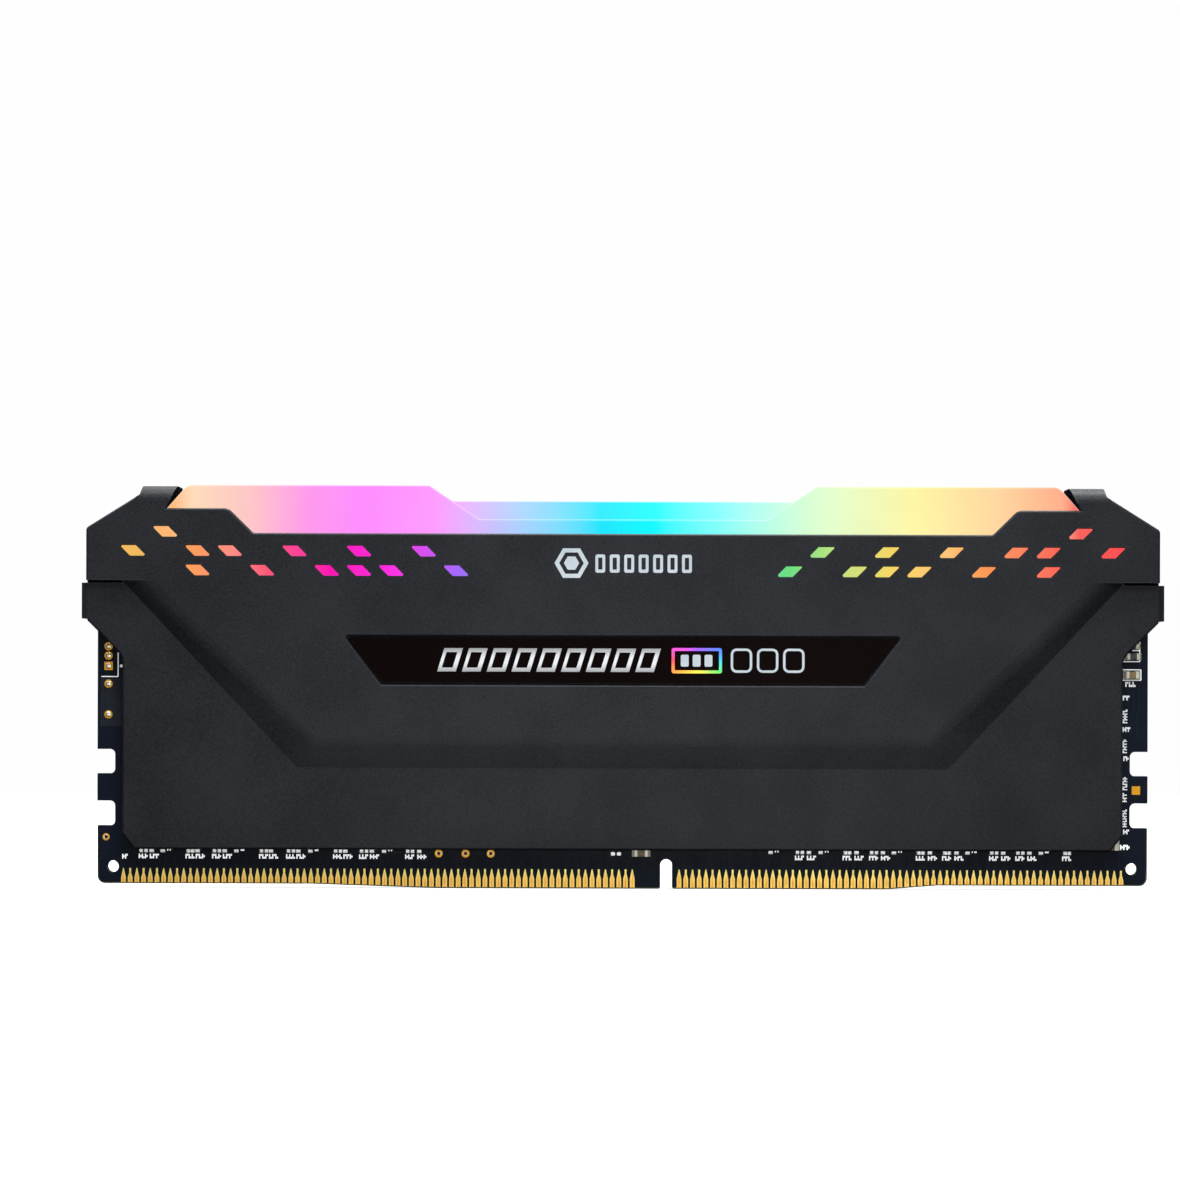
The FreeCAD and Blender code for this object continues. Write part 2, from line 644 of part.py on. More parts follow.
def make_light_bar():
    """Translucent bar that straddles the top of the board, with a narrow middle ridge."""
    body_half = [
        (BAR_SKIRT_X, BAR_SKIRT_Z, 0),
        (BAR_SKIRT_X, 44.3, 0),
        (59.6, BAR_END[1], 0),
        (*BAR_END, 0),
        (55.05, BAR_TOP, 1.8),
        (24.5, BAR_TOP, 0.7),
        (18.2, BAR_SHELF_TOP, 0.5),
    ]
    body = prism(both_halves(body_half), -BAR_DEPTH, BAR_DEPTH)
    top_edges = []
    for edge in body.Edges:
        bounds = edge.BoundBox
        lengthwise = bounds.YLength < 0.01
        if lengthwise and bounds.ZMin > BAR_SHELF_TOP - 0.1 and abs(bounds.Center.x) < 57:
            top_edges.append(edge)
    body = body.makeFillet(BAR_ROUNDING, top_edges)
    ridge_profile = [
        (-BAR_DEPTH + BAR_ROUNDING, BAR_SHELF_TOP - 0.4, 0),
        (-BAR_DEPTH + BAR_ROUNDING, BAR_SHELF_TOP, 0),
        (-BAR_RIDGE_TOP_DEPTH, BAR_RIDGE_TOP, BAR_ROUNDING),
        (BAR_RIDGE_TOP_DEPTH, BAR_RIDGE_TOP, BAR_ROUNDING),
        (BAR_DEPTH - BAR_ROUNDING, BAR_SHELF_TOP, 0),
        (BAR_DEPTH - BAR_ROUNDING, BAR_SHELF_TOP - 0.4, 0),
    ]
    ridge_wire = outline_wire(ridge_profile, 0)
    ridge_wire.rotate(Vec(0, 0, 0), Vec(0, 0, 1), 90)
    ridge_wire.translate(Vec(-BAR_RIDGE_HALF_LENGTH, 0, 0))
    ridge = Part.Face(ridge_wire).extrude(Vec(2 * BAR_RIDGE_HALF_LENGTH, 0, 0))
    body = body.fuse(ridge).removeSplitter()
    slot_x = (-BAR_SKIRT_X - 1, BAR_SKIRT_X + 1)
    slot = box(slot_x, (-BAR_SLOT_DEPTH, BAR_SLOT_DEPTH), (BAR_SKIRT_Z - 1, BAR_SLOT_TOP))
    return body.cut(slot)


# ---------------------------------------------------------------- chips and small parts

def dram_places():
    """Middle of each memory chip along the board."""
    right = spaced(DRAM_FIRST_X, DRAM_PITCH, 4)
    return [-x for x in reversed(right)] + right


def make_dram_chip(x):
    """One memory chip package with a small bevel round its top."""
    bottom = BOARD_DEPTH + DRAM_STANDOFF
    chip = block(x, DRAM_CENTRE_Z, DRAM_SIZE[0], DRAM_SIZE[1], bottom, bottom + DRAM_SIZE[2])
    top_edges = [edge for edge in chip.Edges if edge.BoundBox.YMax < -bottom - 0.5]
    return chip.makeChamfer(0.08, top_edges)


def make_solder_balls():
    """Grid of solder balls under every memory chip."""
    balls = []
    first_row = DRAM_CENTRE_Z - BALL_PITCH * (BALL_ROWS - 1) / 2
    for chip_x in dram_places():
        for column in BALL_COLUMNS:
            for z in spaced(first_row, BALL_PITCH, BALL_ROWS):
                base = Vec(chip_x + BALL_PITCH * column, -BOARD_DEPTH, z)
                balls.append(Part.makeCylinder(BALL_RADIUS, DRAM_STANDOFF, base, Vec(0, -1, 0)))
    return Part.makeCompound(balls)


def make_parts(places, size):
    """Row of identical small parts below the lower edge of the spreader."""
    width, height, thickness = size
    outer = BOARD_DEPTH + thickness
    blocks = [block(x, SMALL_PART_Z, width, height, BOARD_DEPTH, outer) for x in places]
    return Part.makeCompound(blocks)


def make_bulk_capacitors():
    """Larger ceramic capacitors beside and below the spreaders."""
    outer = BOARD_DEPTH + CAPACITOR_HEIGHT
    blocks = []
    for x, z, width, height in BULK_CAPACITORS:
        blocks.append(block(x, z, width, height, BOARD_DEPTH, outer))
    return Part.makeCompound(blocks)


def make_led(x, index):
    """One light-emitting package with a dished window; every other one is on the rear."""
    outer = BOARD_DEPTH + LED_SIZE[2]
    body = block(x, LED_CENTRE_Z, LED_SIZE[0], LED_SIZE[1], BOARD_DEPTH, outer)
    dish_start = Vec(x, -outer + 0.15, LED_CENTRE_Z)
    dish = Part.makeCone(0.6, 0.8, 0.2, dish_start, Vec(0, -1, 0))
    led = body.cut(dish)
    if index % 2:
        led = on_rear(led)
    return led


def lead(x, z, width, height):
    """One flat lead on the board."""
    return block(x, z, width, height, BOARD_DEPTH, BOARD_DEPTH + LEAD_HEIGHT)


def package(place, size):
    """Plain package body, lifted a little off the board."""
    bottom = BOARD_DEPTH + BODY_LIFT
    return block(place[0], place[1], size[0], size[1], bottom, BOARD_DEPTH + size[2])


def make_controller():
    """Light controller: a square flat package with leads along its four sides."""
    x, z = CONTROLLER_PLACE
    reach = CONTROLLER_SIZE[0] / 2
    leads = []
    for offset in spaced(-1.5, 0.5, 7):
        for side in (-reach, reach):
            leads.append(lead(x + offset, z + side, LEAD_WIDTH, 0.4))
            leads.append(lead(x + side, z + offset, 0.4, LEAD_WIDTH))
    return package(CONTROLLER_PLACE, CONTROLLER_SIZE).fuse(leads).removeSplitter()


def make_spd_eeprom():
    """Serial presence detect chip with four leads a side."""
    x, z = EEPROM_PLACE
    reach = EEPROM_SIZE[1] / 2
    leads = []
    for offset in spaced(-0.75, 0.5, 4):
        for side in (-reach, reach):
            leads.append(lead(x + offset, z + side, LEAD_WIDTH, 0.6))
    return package(EEPROM_PLACE, EEPROM_SIZE).fuse(leads).removeSplitter()


def make_regulator():
    """Five-lead regulator that feeds the light bar."""
    x, z = REGULATOR_PLACE
    reach = REGULATOR_SIZE[1] / 2 + 0.2
    leads = [lead(x + offset, z - reach, 0.4, 0.6) for offset in (-0.95, 0, 0.95)]
    leads += [lead(x + offset, z + reach, 0.4, 0.6) for offset in (-0.95, 0.95)]
    return package(REGULATOR_PLACE, REGULATOR_SIZE).fuse(leads).removeSplitter()


def make_inductor():
    """Shielded power inductor beside the regulator."""
    x, z = INDUCTOR_PLACE
    right = x + INDUCTOR_SIZE[0] / 2
    left = x - INDUCTOR_SIZE[0] / 2
    top = z + INDUCTOR_SIZE[1] / 2
    bottom = z - INDUCTOR_SIZE[1] / 2
    radius = INDUCTOR_CORNER_RADIUS
    outline = [(left, bottom, radius), (right, bottom, radius)]
    outline += [(right, top, radius), (left, top, radius)]
    return prism(outline, -BOARD_DEPTH - INDUCTOR_SIZE[2], -BOARD_DEPTH)


def make_front_pad():
    """Soft pad between the memory chips and the show-side sheet, shaped to both."""
    chip_top = BOARD_DEPTH + DRAM_STANDOFF + DRAM_SIZE[2]
    x_range = (-PAD_HALF_LENGTH, PAD_HALF_LENGTH)
    slab = box(x_range, (-RAISED_DEPTH, -chip_top), PAD_RANGE)
    return slab.common(envelope(SHEET, INNER_SLOPE_INSET, 0))


def make_rear_pad():
    """Thicker pad between the bare rear of the board and the rear sheet."""
    x_range = (-PAD_HALF_LENGTH, PAD_HALF_LENGTH)
    slab = box(x_range, (-RAISED_DEPTH, -BOARD_DEPTH), PAD_RANGE)
    return on_rear(slab.common(envelope(SHEET, INNER_SLOPE_INSET, 0)))


def all_nodes():
    """Every sub-part by the name of its node."""
    contacts = make_contacts()
    plate = make_plate()
    nodes = {
        "circuit_board": make_circuit_board(),
        "front_contacts": contacts,
        "rear_contacts": on_rear(contacts),
        "test_pads": make_test_pads(),
        "front_heat_spreader": make_front_spreader(),
        "rear_heat_spreader": make_rear_spreader(),
        "light_bar": make_light_bar(),
        "front_nameplate": plate,
        "rear_label": on_rear(plate),
        "front_thermal_pad": make_front_pad(),
        "rear_thermal_pad": make_rear_pad(),
        "dram_solder_balls": make_solder_balls(),
        "spd_eeprom": make_spd_eeprom(),
        "led_controller": make_controller(),
        "boost_regulator": make_regulator(),
        "boost_inductor": make_inductor(),
        "resistor_arrays": make_parts(ARRAY_X, ARRAY_SIZE),
        "chip_resistors": make_parts(RESISTOR_X, CHIP_PART_SIZE),
        "bypass_capacitors": make_parts(CAPACITOR_X, CHIP_PART_SIZE),
        "bulk_capacitors": make_bulk_capacitors(),
    }
    for index, x in enumerate(dram_places()):
        nodes[f"dram_chip_{index + 1}"] = make_dram_chip(x)
    for index, x in enumerate(spaced(LED_FIRST_X, LED_PITCH, LED_COUNT)):
        nodes[f"led_{index + 1}"] = make_led(x, index)
    return nodes


def main():
    os.makedirs("parts", exist_ok=True)
    for name, shape in all_nodes().items():
        shape.exportStep(f"parts/{name}.step")
        print(name, "solids", len(shape.Solids), "volume", round(shape.Volume, 2))


main()
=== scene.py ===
import math
import random

import bmesh
import bpy
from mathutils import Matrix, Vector


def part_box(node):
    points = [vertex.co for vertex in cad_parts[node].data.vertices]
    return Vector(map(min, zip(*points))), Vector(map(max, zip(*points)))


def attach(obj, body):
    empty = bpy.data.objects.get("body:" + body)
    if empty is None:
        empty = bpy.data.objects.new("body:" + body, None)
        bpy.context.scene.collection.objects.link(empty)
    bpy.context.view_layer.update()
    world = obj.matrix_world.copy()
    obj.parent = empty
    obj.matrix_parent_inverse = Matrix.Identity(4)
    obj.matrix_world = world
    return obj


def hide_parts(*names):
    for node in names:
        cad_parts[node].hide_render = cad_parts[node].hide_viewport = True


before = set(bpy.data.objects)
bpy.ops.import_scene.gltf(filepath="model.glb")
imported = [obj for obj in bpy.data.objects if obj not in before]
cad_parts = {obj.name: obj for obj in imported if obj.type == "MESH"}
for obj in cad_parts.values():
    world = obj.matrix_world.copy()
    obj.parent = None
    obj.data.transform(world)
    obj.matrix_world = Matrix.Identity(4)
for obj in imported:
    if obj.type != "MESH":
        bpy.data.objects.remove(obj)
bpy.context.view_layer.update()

# A memory module between two black heat spreaders, lit along its top, on a plain pale floor.
# Lengths in this script are millimetres; MM turns them into Blender's metres.
MM = 0.001
BODY = "root"
SEED = 7


def mm_box(node):
    """Lowest and highest corners of a CAD node, in millimetres."""
    low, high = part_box(node)
    return low / MM, high / MM


BOARD_LOW, BOARD_HIGH = mm_box("circuit_board")
SHEET_LOW, SHEET_HIGH = mm_box("front_heat_spreader")
PLATE_LOW, PLATE_HIGH = mm_box("front_nameplate")
BAR_LOW, BAR_HIGH = mm_box("light_bar")
BOARD_DEPTH = -BOARD_LOW.y
SHEET_DEPTH = -SHEET_LOW.y
PLATE_DEPTH = -PLATE_LOW.y
# The fingers: their pitch, and the phase that puts each finger's middle at a half
CONTACT_PITCH = 0.85
FIRST_CONTACT = -63.325
SPARE_PITCHES = 100
CONTACT_PHASE = 0.5 - FIRST_CONTACT / CONTACT_PITCH + SPARE_PITCHES
# The heights between which the fingers' deeper tone near the edge fades out
FINGER_TIPS = (0.7, 2.3)
# The heights between which the painted light (glow) on the small parts, which sit in the
# spreader's shadow, fades to what the rest has, and how many times stronger it is low down
PAINTED_LIGHT_STRIP = (6.2, 7.4)
PAINTED_LIGHT_STRIP_GAIN = 2.4
# The heights between which the bar's colours pass from the windows' to the open part's
BAR_COLOUR_CHANGE = (43.9, 44.7)
# The heights between which the board's cut edge darkens
CUT_EDGE_SHADE = (0.8, 3.0)
# The small printed frame on the plate: left, bottom, right, top
SPECTRUM_FRAME = (6.15, 27.35, 12.5, 30.55)


# ---------------------------------------------------------------- colours and shaders

def srgb(red, green, blue):
    """Linear colour from screen values of 0 to 255."""
    channels = []
    for value in (red, green, blue):
        share = value / 255
        if share <= 0.04045:
            channels.append(share / 12.92)
        else:
            channels.append(((share + 0.055) / 1.055) ** 2.4)
    return (*channels, 1.0)


class Shader:
    """Node material on the Principled shader, with short calls for the nodes used here."""

    def __init__(self, name):
        self.material = bpy.data.materials.new(name)
        self.material.use_nodes = True
        self.tree = self.material.node_tree
        self.bsdf = self.tree.nodes["Principled BSDF"]
        self.place = self.add("ShaderNodeTexCoord").outputs["Object"]

    def add(self, kind, **settings):
        """New node with some of its settings."""
        node = self.tree.nodes.new(kind)
        for key, value in settings.items():
            setattr(node, key, value)
        return node

    def feed(self, value, socket):
        """Link a socket, or set a plain value."""
        if isinstance(value, bpy.types.NodeSocket):
            self.tree.links.new(value, socket)
        else:
            socket.default_value = value

    def set(self, **values):
        """Feed sockets of the Principled shader; an underscore stands for a space."""
        for key, value in values.items():
            self.feed(value, self.bsdf.inputs[key.replace("_", " ")])

    def noise(self, size, detail=3.0, roughness=0.5, stretch=(1, 1, 1)):
        """Noise from 0 to 1 whose features are about size millimetres across."""
        mapping = self.add("ShaderNodeMapping")
        self.feed(self.place, mapping.inputs["Vector"])
        self.feed(tuple(stretch), mapping.inputs["Scale"])
        node = self.add("ShaderNodeTexNoise")
        self.feed(mapping.outputs["Vector"], node.inputs["Vector"])
        self.feed(1 / (size * MM), node.inputs["Scale"])
        self.feed(detail, node.inputs["Detail"])
        self.feed(roughness, node.inputs["Roughness"])
        return node.outputs["Fac"]

    def axis(self, name, vector=None):
        """One coordinate of a vector, or of the place on the piece in metres."""
        split = self.add("ShaderNodeSeparateXYZ")
        self.feed(vector or self.place, split.inputs["Vector"])
        return split.outputs[name]

    def rescale(self, value, low, high, to_low=0.0, to_high=1.0):
        """Value clamped to a range and eased to another range."""
        node = self.add("ShaderNodeMapRange", interpolation_type="SMOOTHSTEP")
        numbers = {"From Min": low, "From Max": high, "To Min": to_low, "To Max": to_high}
        self.feed(value, node.inputs["Value"])
        for key, number in numbers.items():
            self.feed(number, node.inputs[key])
        return node.outputs["Result"]

    def mix(self, share, first, second):
        """Colour between two colours."""
        node = self.add("ShaderNodeMix", data_type="RGBA")
        self.feed(share, node.inputs[0])
        self.feed(first, node.inputs[6])
        self.feed(second, node.inputs[7])
        return node.outputs[2]

    def math(self, operation, first, second=0.0):
        """Sum, product or comparison of two values."""
        node = self.add("ShaderNodeMath", operation=operation)
        self.feed(first, node.inputs[0])
        self.feed(second, node.inputs[1])
        return node.outputs[0]

    def ramp(self, value, stops):
        """Colour ramp through (position, colour) stops, with positions from 0 to 1."""
        node = self.add("ShaderNodeValToRGB")
        elements = node.color_ramp.elements
        elements[0].position, elements[0].color = stops[0]
        elements[1].position, elements[1].color = stops[-1]
        for position, colour in stops[1:-1]:
            elements.new(position).color = colour
        self.feed(value, node.inputs["Fac"])
        return node.outputs["Color"]

    def bump(self, height, depth):
        """Bump of the given depth in millimetres."""
        node = self.add("ShaderNodeBump")
        self.feed(height, node.inputs["Height"])
        self.feed(depth * MM, node.inputs["Distance"])
        self.feed(node.outputs["Normal"], self.bsdf.inputs["Normal"])


def speckled(name, dark, light, grain, roughness, bump, metallic=0.0, specular=0.5, glow=0.0):
    """Material that varies with a fine grain and a broad mottle; its glow, where it has one, is
    painted light and stronger low down.
    """
    shader = Shader(name)
    fine = shader.noise(grain)
    broad = shader.noise(grain * 40, detail=2.0)
    share = shader.math("MULTIPLY", shader.math("ADD", fine, broad), 0.5)
    share = shader.rescale(share, 0.35, 0.65)
    shader.set(Base_Color=shader.mix(share, dark, light))
    shader.set(Roughness=shader.rescale(fine, 0.3, 0.7, roughness - 0.05, roughness + 0.05))
    shader.set(Metallic=metallic, Specular_IOR_Level=specular)
    # Painted light: a glow that lifts parts lying in the spreader's shadow, strongest low down
    if glow > 0:
        low, high = PAINTED_LIGHT_STRIP
        height = shader.axis("Z")
        painted_light_strength = shader.rescale(height, high * MM, low * MM, glow, PAINTED_LIGHT_STRIP_GAIN * glow)
        shader.set(Emission_Color=light, Emission_Strength=painted_light_strength)
    shader.bump(fine, bump)
    return shader.material


def powder_coat():
    """Fine-grained matte black coating, with a painted highlight that makes the rounded edges a
    little paler.
    """
    shader = Shader("powder_coat")
    grain = shader.noise(0.22, detail=4.0, roughness=0.65)
    mottle = shader.noise(9.0, detail=3.0)
    share = shader.math("MULTIPLY", grain, 0.7)
    share = shader.math("ADD", share, shader.math("MULTIPLY", mottle, 0.3))
    share = shader.rescale(share, 0.37, 0.63)
    colour = shader.mix(share, srgb(23, 25, 29), srgb(39, 41, 46))
    # Painted highlight: the rounded edges are mixed towards a paler grey
    rounded = shader.add("ShaderNodeBevel", samples=4)
    shader.feed(0.25 * MM, rounded.inputs["Radius"])
    flat = shader.add("ShaderNodeNewGeometry").outputs["Normal"]
    turn = shader.add("ShaderNodeVectorMath", operation="DOT_PRODUCT")
    shader.feed(rounded.outputs["Normal"], turn.inputs[0])
    shader.feed(flat, turn.inputs[1])
    painted_edge_highlight = shader.rescale(turn.outputs["Value"], 0.985, 0.8)
    painted_edge_highlight = shader.math("MULTIPLY", painted_edge_highlight, shader.rescale(grain, 0.4, 0.6, 0.25, 0.8))
    shader.set(Base_Color=shader.mix(painted_edge_highlight, colour, srgb(70, 72, 76)))
    shader.set(Roughness=shader.rescale(grain, 0.3, 0.7, 0.37, 0.47))
    shader.set(Specular_IOR_Level=0.15)
    shader.bump(grain, 0.02)
    return shader.material


# Hues of the light along the bar: millimetres from the middle, and the colour there
BAR_COLOURS = (
    (-66.9, (250, 190, 90)),
    (-57.0, (255, 185, 120)),
    (-54.5, (255, 220, 185)),
    (-47.0, (255, 198, 200)),
    (-40.0, (255, 155, 235)),
    (-33.0, (255, 140, 255)),
    (-24.0, (255, 155, 255)),
    (-13.0, (170, 210, 255)),
    (-3.0, (30, 230, 255)),
    (4.0, (10, 250, 255)),
    (12.0, (130, 255, 250)),
    (24.0, (220, 255, 210)),
    (37.0, (255, 245, 165)),
    (47.0, (255, 215, 160)),
    (55.5, (255, 175, 140)),
    (57.5, (250, 100, 95)),
    (66.9, (255, 75, 85)),
)
# Nearer the lamps, behind the windows, the hues are deeper
WINDOW_COLOURS = (
    (-61.0, (245, 190, 95)),
    (-54.0, (255, 158, 95)),
    (-49.0, (255, 140, 135)),
    (-45.0, (255, 90, 120)),
    (-37.0, (255, 20, 180)),
    (-29.0, (255, 48, 230)),
    (-21.0, (165, 105, 255)),
    (0.0, (20, 215, 255)),
    (21.0, (110, 225, 130)),
    (27.0, (190, 230, 130)),
    (34.0, (248, 215, 100)),
    (41.0, (255, 198, 120)),
    (45.5, (255, 155, 85)),
    (51.0, (255, 130, 100)),
    (57.0, (255, 90, 80)),
    (66.9, (255, 75, 88)),
)


def ramp_stops(colours):
    """Stops of a colour ramp over the bar's length."""
    length = BAR_HIGH.x - BAR_LOW.x
    stops = []
    for x, colour in colours:
        share = min(max((x - BAR_LOW.x) / length, 0.0), 1.0)
        stops.append((share, srgb(*colour)))
    return stops


def diffuser():
    """Frosted translucent plastic, glowing with the lamps behind it, with a painted highlight that
    whitens its rounded edges.
    """
    shader = Shader("frosted_diffuser")
    along = shader.axis("X")
    low, high = BAR_LOW.x * MM, BAR_HIGH.x * MM
    place = shader.add("ShaderNodeMapRange")
    for key, number in (("Value", along), ("From Min", low), ("From Max", high)):
        shader.feed(number, place.inputs[key])
    share = place.outputs["Result"]
    pastel = shader.ramp(share, ramp_stops(BAR_COLOURS))
    deep = shader.ramp(share, ramp_stops(WINDOW_COLOURS))
    height = shader.axis("Z")
    low, high = BAR_COLOUR_CHANGE
    colour = shader.mix(shader.rescale(height, low * MM, high * MM), deep, pastel)
    # Painted highlight: where the surface turns away from the front, the colour is mixed towards
    # white
    normal = shader.add("ShaderNodeNewGeometry").outputs["Normal"]
    tilt = shader.math("SUBTRACT", 1.0, shader.math("ABSOLUTE", shader.axis("Y", normal)))
    painted_rim_highlight = shader.rescale(tilt, 0.16, 0.6, 0.0, 0.3)
    colour = shader.mix(painted_rim_highlight, colour, srgb(255, 255, 255))
    cloud = shader.noise(5.0, detail=2.0)
    frost = shader.noise(0.15, detail=2.0)
    glow = shader.rescale(cloud, 0.2, 0.8, 0.95, 0.99)
    shader.set(Base_Color=shader.mix(0.97, colour, srgb(0, 0, 0)))
    shader.set(Emission_Color=colour, Emission_Strength=glow)
    shader.set(Roughness=shader.rescale(frost, 0.3, 0.7, 0.4, 0.52))
    shader.set(Specular_IOR_Level=0.05)
    shader.bump(frost, 0.003)
    return shader.material


def board_surface():
    """Navy solder mask on the faces, and glass epoxy on the cut edges, palest at the bottom."""
    shader = Shader("solder_mask")
    weave = shader.noise(0.5, detail=2.0, stretch=(1, 1, 0.3))
    mottle = shader.noise(4.0)
    mask = shader.mix(mottle, srgb(10, 17, 30), srgb(17, 26, 41))
    normal = shader.add("ShaderNodeNewGeometry").outputs["Normal"]
    facing = shader.math("ABSOLUTE", shader.axis("Y", normal))
    fibre = shader.noise(0.3, detail=4.0, stretch=(0.15, 2.0, 0.15))
    cut = shader.mix(fibre, srgb(74, 84, 60), srgb(150, 160, 120))
    low, high = CUT_EDGE_SHADE
    shade = shader.rescale(shader.axis("Z"), low * MM, high * MM)
    cut = shader.mix(shade, cut, srgb(52, 50, 40))
    on_face = shader.rescale(facing, 0.9, 0.97)
    shader.set(Base_Color=shader.mix(on_face, cut, mask))
    shader.set(Roughness=shader.rescale(weave, 0.3, 0.7, 0.3, 0.4))
    shader.set(Specular_IOR_Level=0.07)
    shader.bump(weave, 0.01)
    return shader.material


def gold():
    """Bright gold plating with faint wiping marks along the fingers."""
    shader = Shader("gold_plating")
    wipe = shader.noise(0.12, detail=3.0, stretch=(1, 1, 0.12))
    tone = shader.noise(6.0, detail=2.0)
    warm = shader.mix(tone, srgb(200, 138, 22), srgb(214, 152, 30))
    shader.set(Base_Color=shader.mix(wipe, warm, srgb(224, 166, 44)))
    shader.set(Metallic=0.85)
    shader.set(Roughness=shader.rescale(wipe, 0.3, 0.7, 0.3, 0.46))
    shader.bump(wipe, 0.002)
    return shader.material


def contact_gold():
    """Gold fingers: deeper in tone near the edge, and deepest along their middles there."""
    shader = Shader("contact_gold")
    wipe = shader.noise(0.12, detail=3.0, stretch=(1, 1, 0.12))
    place = shader.math("DIVIDE", shader.axis("X"), CONTACT_PITCH * MM)
    place = shader.math("ADD", place, CONTACT_PHASE)
    offset = shader.math("ABSOLUTE", shader.math("SUBTRACT", shader.math("FRACT", place), 0.5))
    middle = shader.rescale(offset, 0.2, 0.02)
    tip, shank = FINGER_TIPS
    low = shader.rescale(shader.axis("Z"), shank * MM, tip * MM)
    depth = shader.math("MULTIPLY", middle, low)
    depth = shader.math("MULTIPLY", depth, shader.rescale(wipe, 0.3, 0.6, 0.45, 0.95))
    bright = shader.mix(low, srgb(255, 234, 132), srgb(255, 214, 104))
    shader.set(Base_Color=shader.mix(depth, bright, srgb(240, 156, 60)))
    shader.set(Metallic=0.8)
    shader.set(Roughness=shader.rescale(wipe, 0.3, 0.7, 0.34, 0.48))
    shader.bump(wipe, 0.002)
    return shader.material


def silver_print():
    """Silver ink, brightest along the middle of the line of marks, with a faint glow of painted
    light.
    """
    shader = Shader("silver_print")
    middle = (PLATE_LOW.z + PLATE_HIGH.z) / 2
    rise = shader.math("SUBTRACT", shader.axis("Z"), middle * MM)
    share = shader.rescale(shader.math("ABSOLUTE", rise), 1.6 * MM, 0.2 * MM)
    grain = shader.noise(0.1)
    tone = shader.mix(share, srgb(120, 122, 126), srgb(206, 208, 212))
    shader.set(Base_Color=shader.mix(shader.rescale(grain, 0.3, 0.7, 0.0, 0.3), tone,
                                     srgb(236, 238, 240)))
    # Painted light: a faint glow in the ink's tone
    shader.set(Emission_Color=tone, Emission_Strength=shader.rescale(grain, 0.3, 0.7, 0.1, 0.16))
    shader.set(Roughness=shader.rescale(grain, 0.3, 0.7, 0.3, 0.4))
    shader.bump(grain, 0.002)
    return shader.material


def spectrum_print():
    """Printed colours that run round the small frame, glowing with painted light."""
    shader = Shader("spectrum_print")
    middle_x = SPECTRUM_FRAME[0] + SPECTRUM_FRAME[2]
    middle_z = SPECTRUM_FRAME[1] + SPECTRUM_FRAME[3]
    across = shader.math("SUBTRACT", shader.axis("X"), middle_x / 2 * MM)
    up = shader.math("SUBTRACT", shader.axis("Z"), middle_z / 2 * MM)
    angle = shader.math("ARCTAN2", shader.math("MULTIPLY", up, 2.0), across)
    share = shader.math("ADD", shader.math("DIVIDE", angle, 2 * math.pi), 0.5)
    hues = ((255, 60, 70), (255, 150, 40), (250, 220, 50), (90, 220, 90), (40, 190, 220))
    hues += ((60, 110, 240), (150, 70, 230), (240, 60, 190), (255, 60, 70))
    stops = [(index / (len(hues) - 1), srgb(*hue)) for index, hue in enumerate(hues)]
    colour = shader.ramp(share, stops)
    grain = shader.noise(0.1)
    shader.set(Base_Color=shader.mix(0.2, colour, srgb(30, 30, 30)))
    # Painted light: the print's colours glow
    shader.set(Emission_Color=colour)
    shader.set(Emission_Strength=shader.rescale(grain, 0.3, 0.7, 0.4, 0.5))
    shader.set(Roughness=shader.rescale(grain, 0.3, 0.7, 0.3, 0.4))
    shader.bump(grain, 0.002)
    return shader.material


MATERIALS = {
    "powder_coat": powder_coat(),
    "diffuser": diffuser(),
    "board": board_surface(),
    "gold": gold(),
    "contacts": contact_gold(),
    # The glow on the tin, the tinned ends and the white ink is painted light, not a lamp
    "tin": speckled("tin", srgb(206, 208, 206), srgb(246, 248, 246), 0.12, 0.36, 0.006,
                    metallic=0.3, glow=0.14),
    "caps": speckled("tinned_ends", srgb(176, 174, 156), srgb(220, 220, 204), 0.12, 0.36, 0.006,
                     metallic=0.3, glow=0.06),
    "filling": speckled("pad_filling", srgb(244, 224, 186), srgb(255, 244, 220), 0.3, 0.26, 0.001,
                        metallic=0.7),
    # Near-black for the painted shade strips at the windows and the painted shadow under the steps
    "gap": speckled("painted_gap_shade", srgb(1, 1, 2), srgb(5, 5, 6), 0.2, 0.9, 0.01, specular=0.02),
    "gloss": speckled("gloss_black", srgb(13, 7, 7), srgb(16, 9, 9), 0.5, 0.2, 0.0005,
                      specular=0.005),
    "epoxy": speckled("moulded_epoxy", srgb(26, 26, 28), srgb(38, 38, 40), 0.1, 0.6, 0.01),
    "pad": speckled("thermal_pad", srgb(112, 124, 146), srgb(134, 146, 166), 0.3, 0.85, 0.02),
    "ferrite": speckled("ferrite", srgb(52, 52, 56), srgb(70, 70, 74), 0.15, 0.7, 0.02),
    "resistor": speckled("resistor_glaze", srgb(16, 16, 18), srgb(28, 28, 30), 0.2, 0.3, 0.004),
    "ceramic": speckled("capacitor_ceramic", srgb(126, 106, 70), srgb(156, 134, 94), 0.1, 0.5,
                        0.006),
    "led": speckled("led_package", srgb(226, 226, 222), srgb(240, 240, 236), 0.2, 0.4, 0.004),
    "ink": speckled("white_ink", srgb(232, 238, 242), srgb(250, 252, 254), 0.08, 0.6, 0.004,
                    glow=0.3),
    "trace": speckled("covered_copper", srgb(18, 26, 38), srgb(24, 33, 47), 0.3, 0.36, 0.004,
                      specular=0.1),
    "hatch": speckled("hatched_copper", srgb(38, 43, 50), srgb(50, 55, 62), 0.3, 0.36, 0.004,
                      specular=0.1),
    "badge": speckled("badge_print", srgb(178, 190, 198), srgb(200, 210, 218), 0.1, 0.5, 0.004),
    "silver": silver_print(),
    "spectrum": spectrum_print(),
}

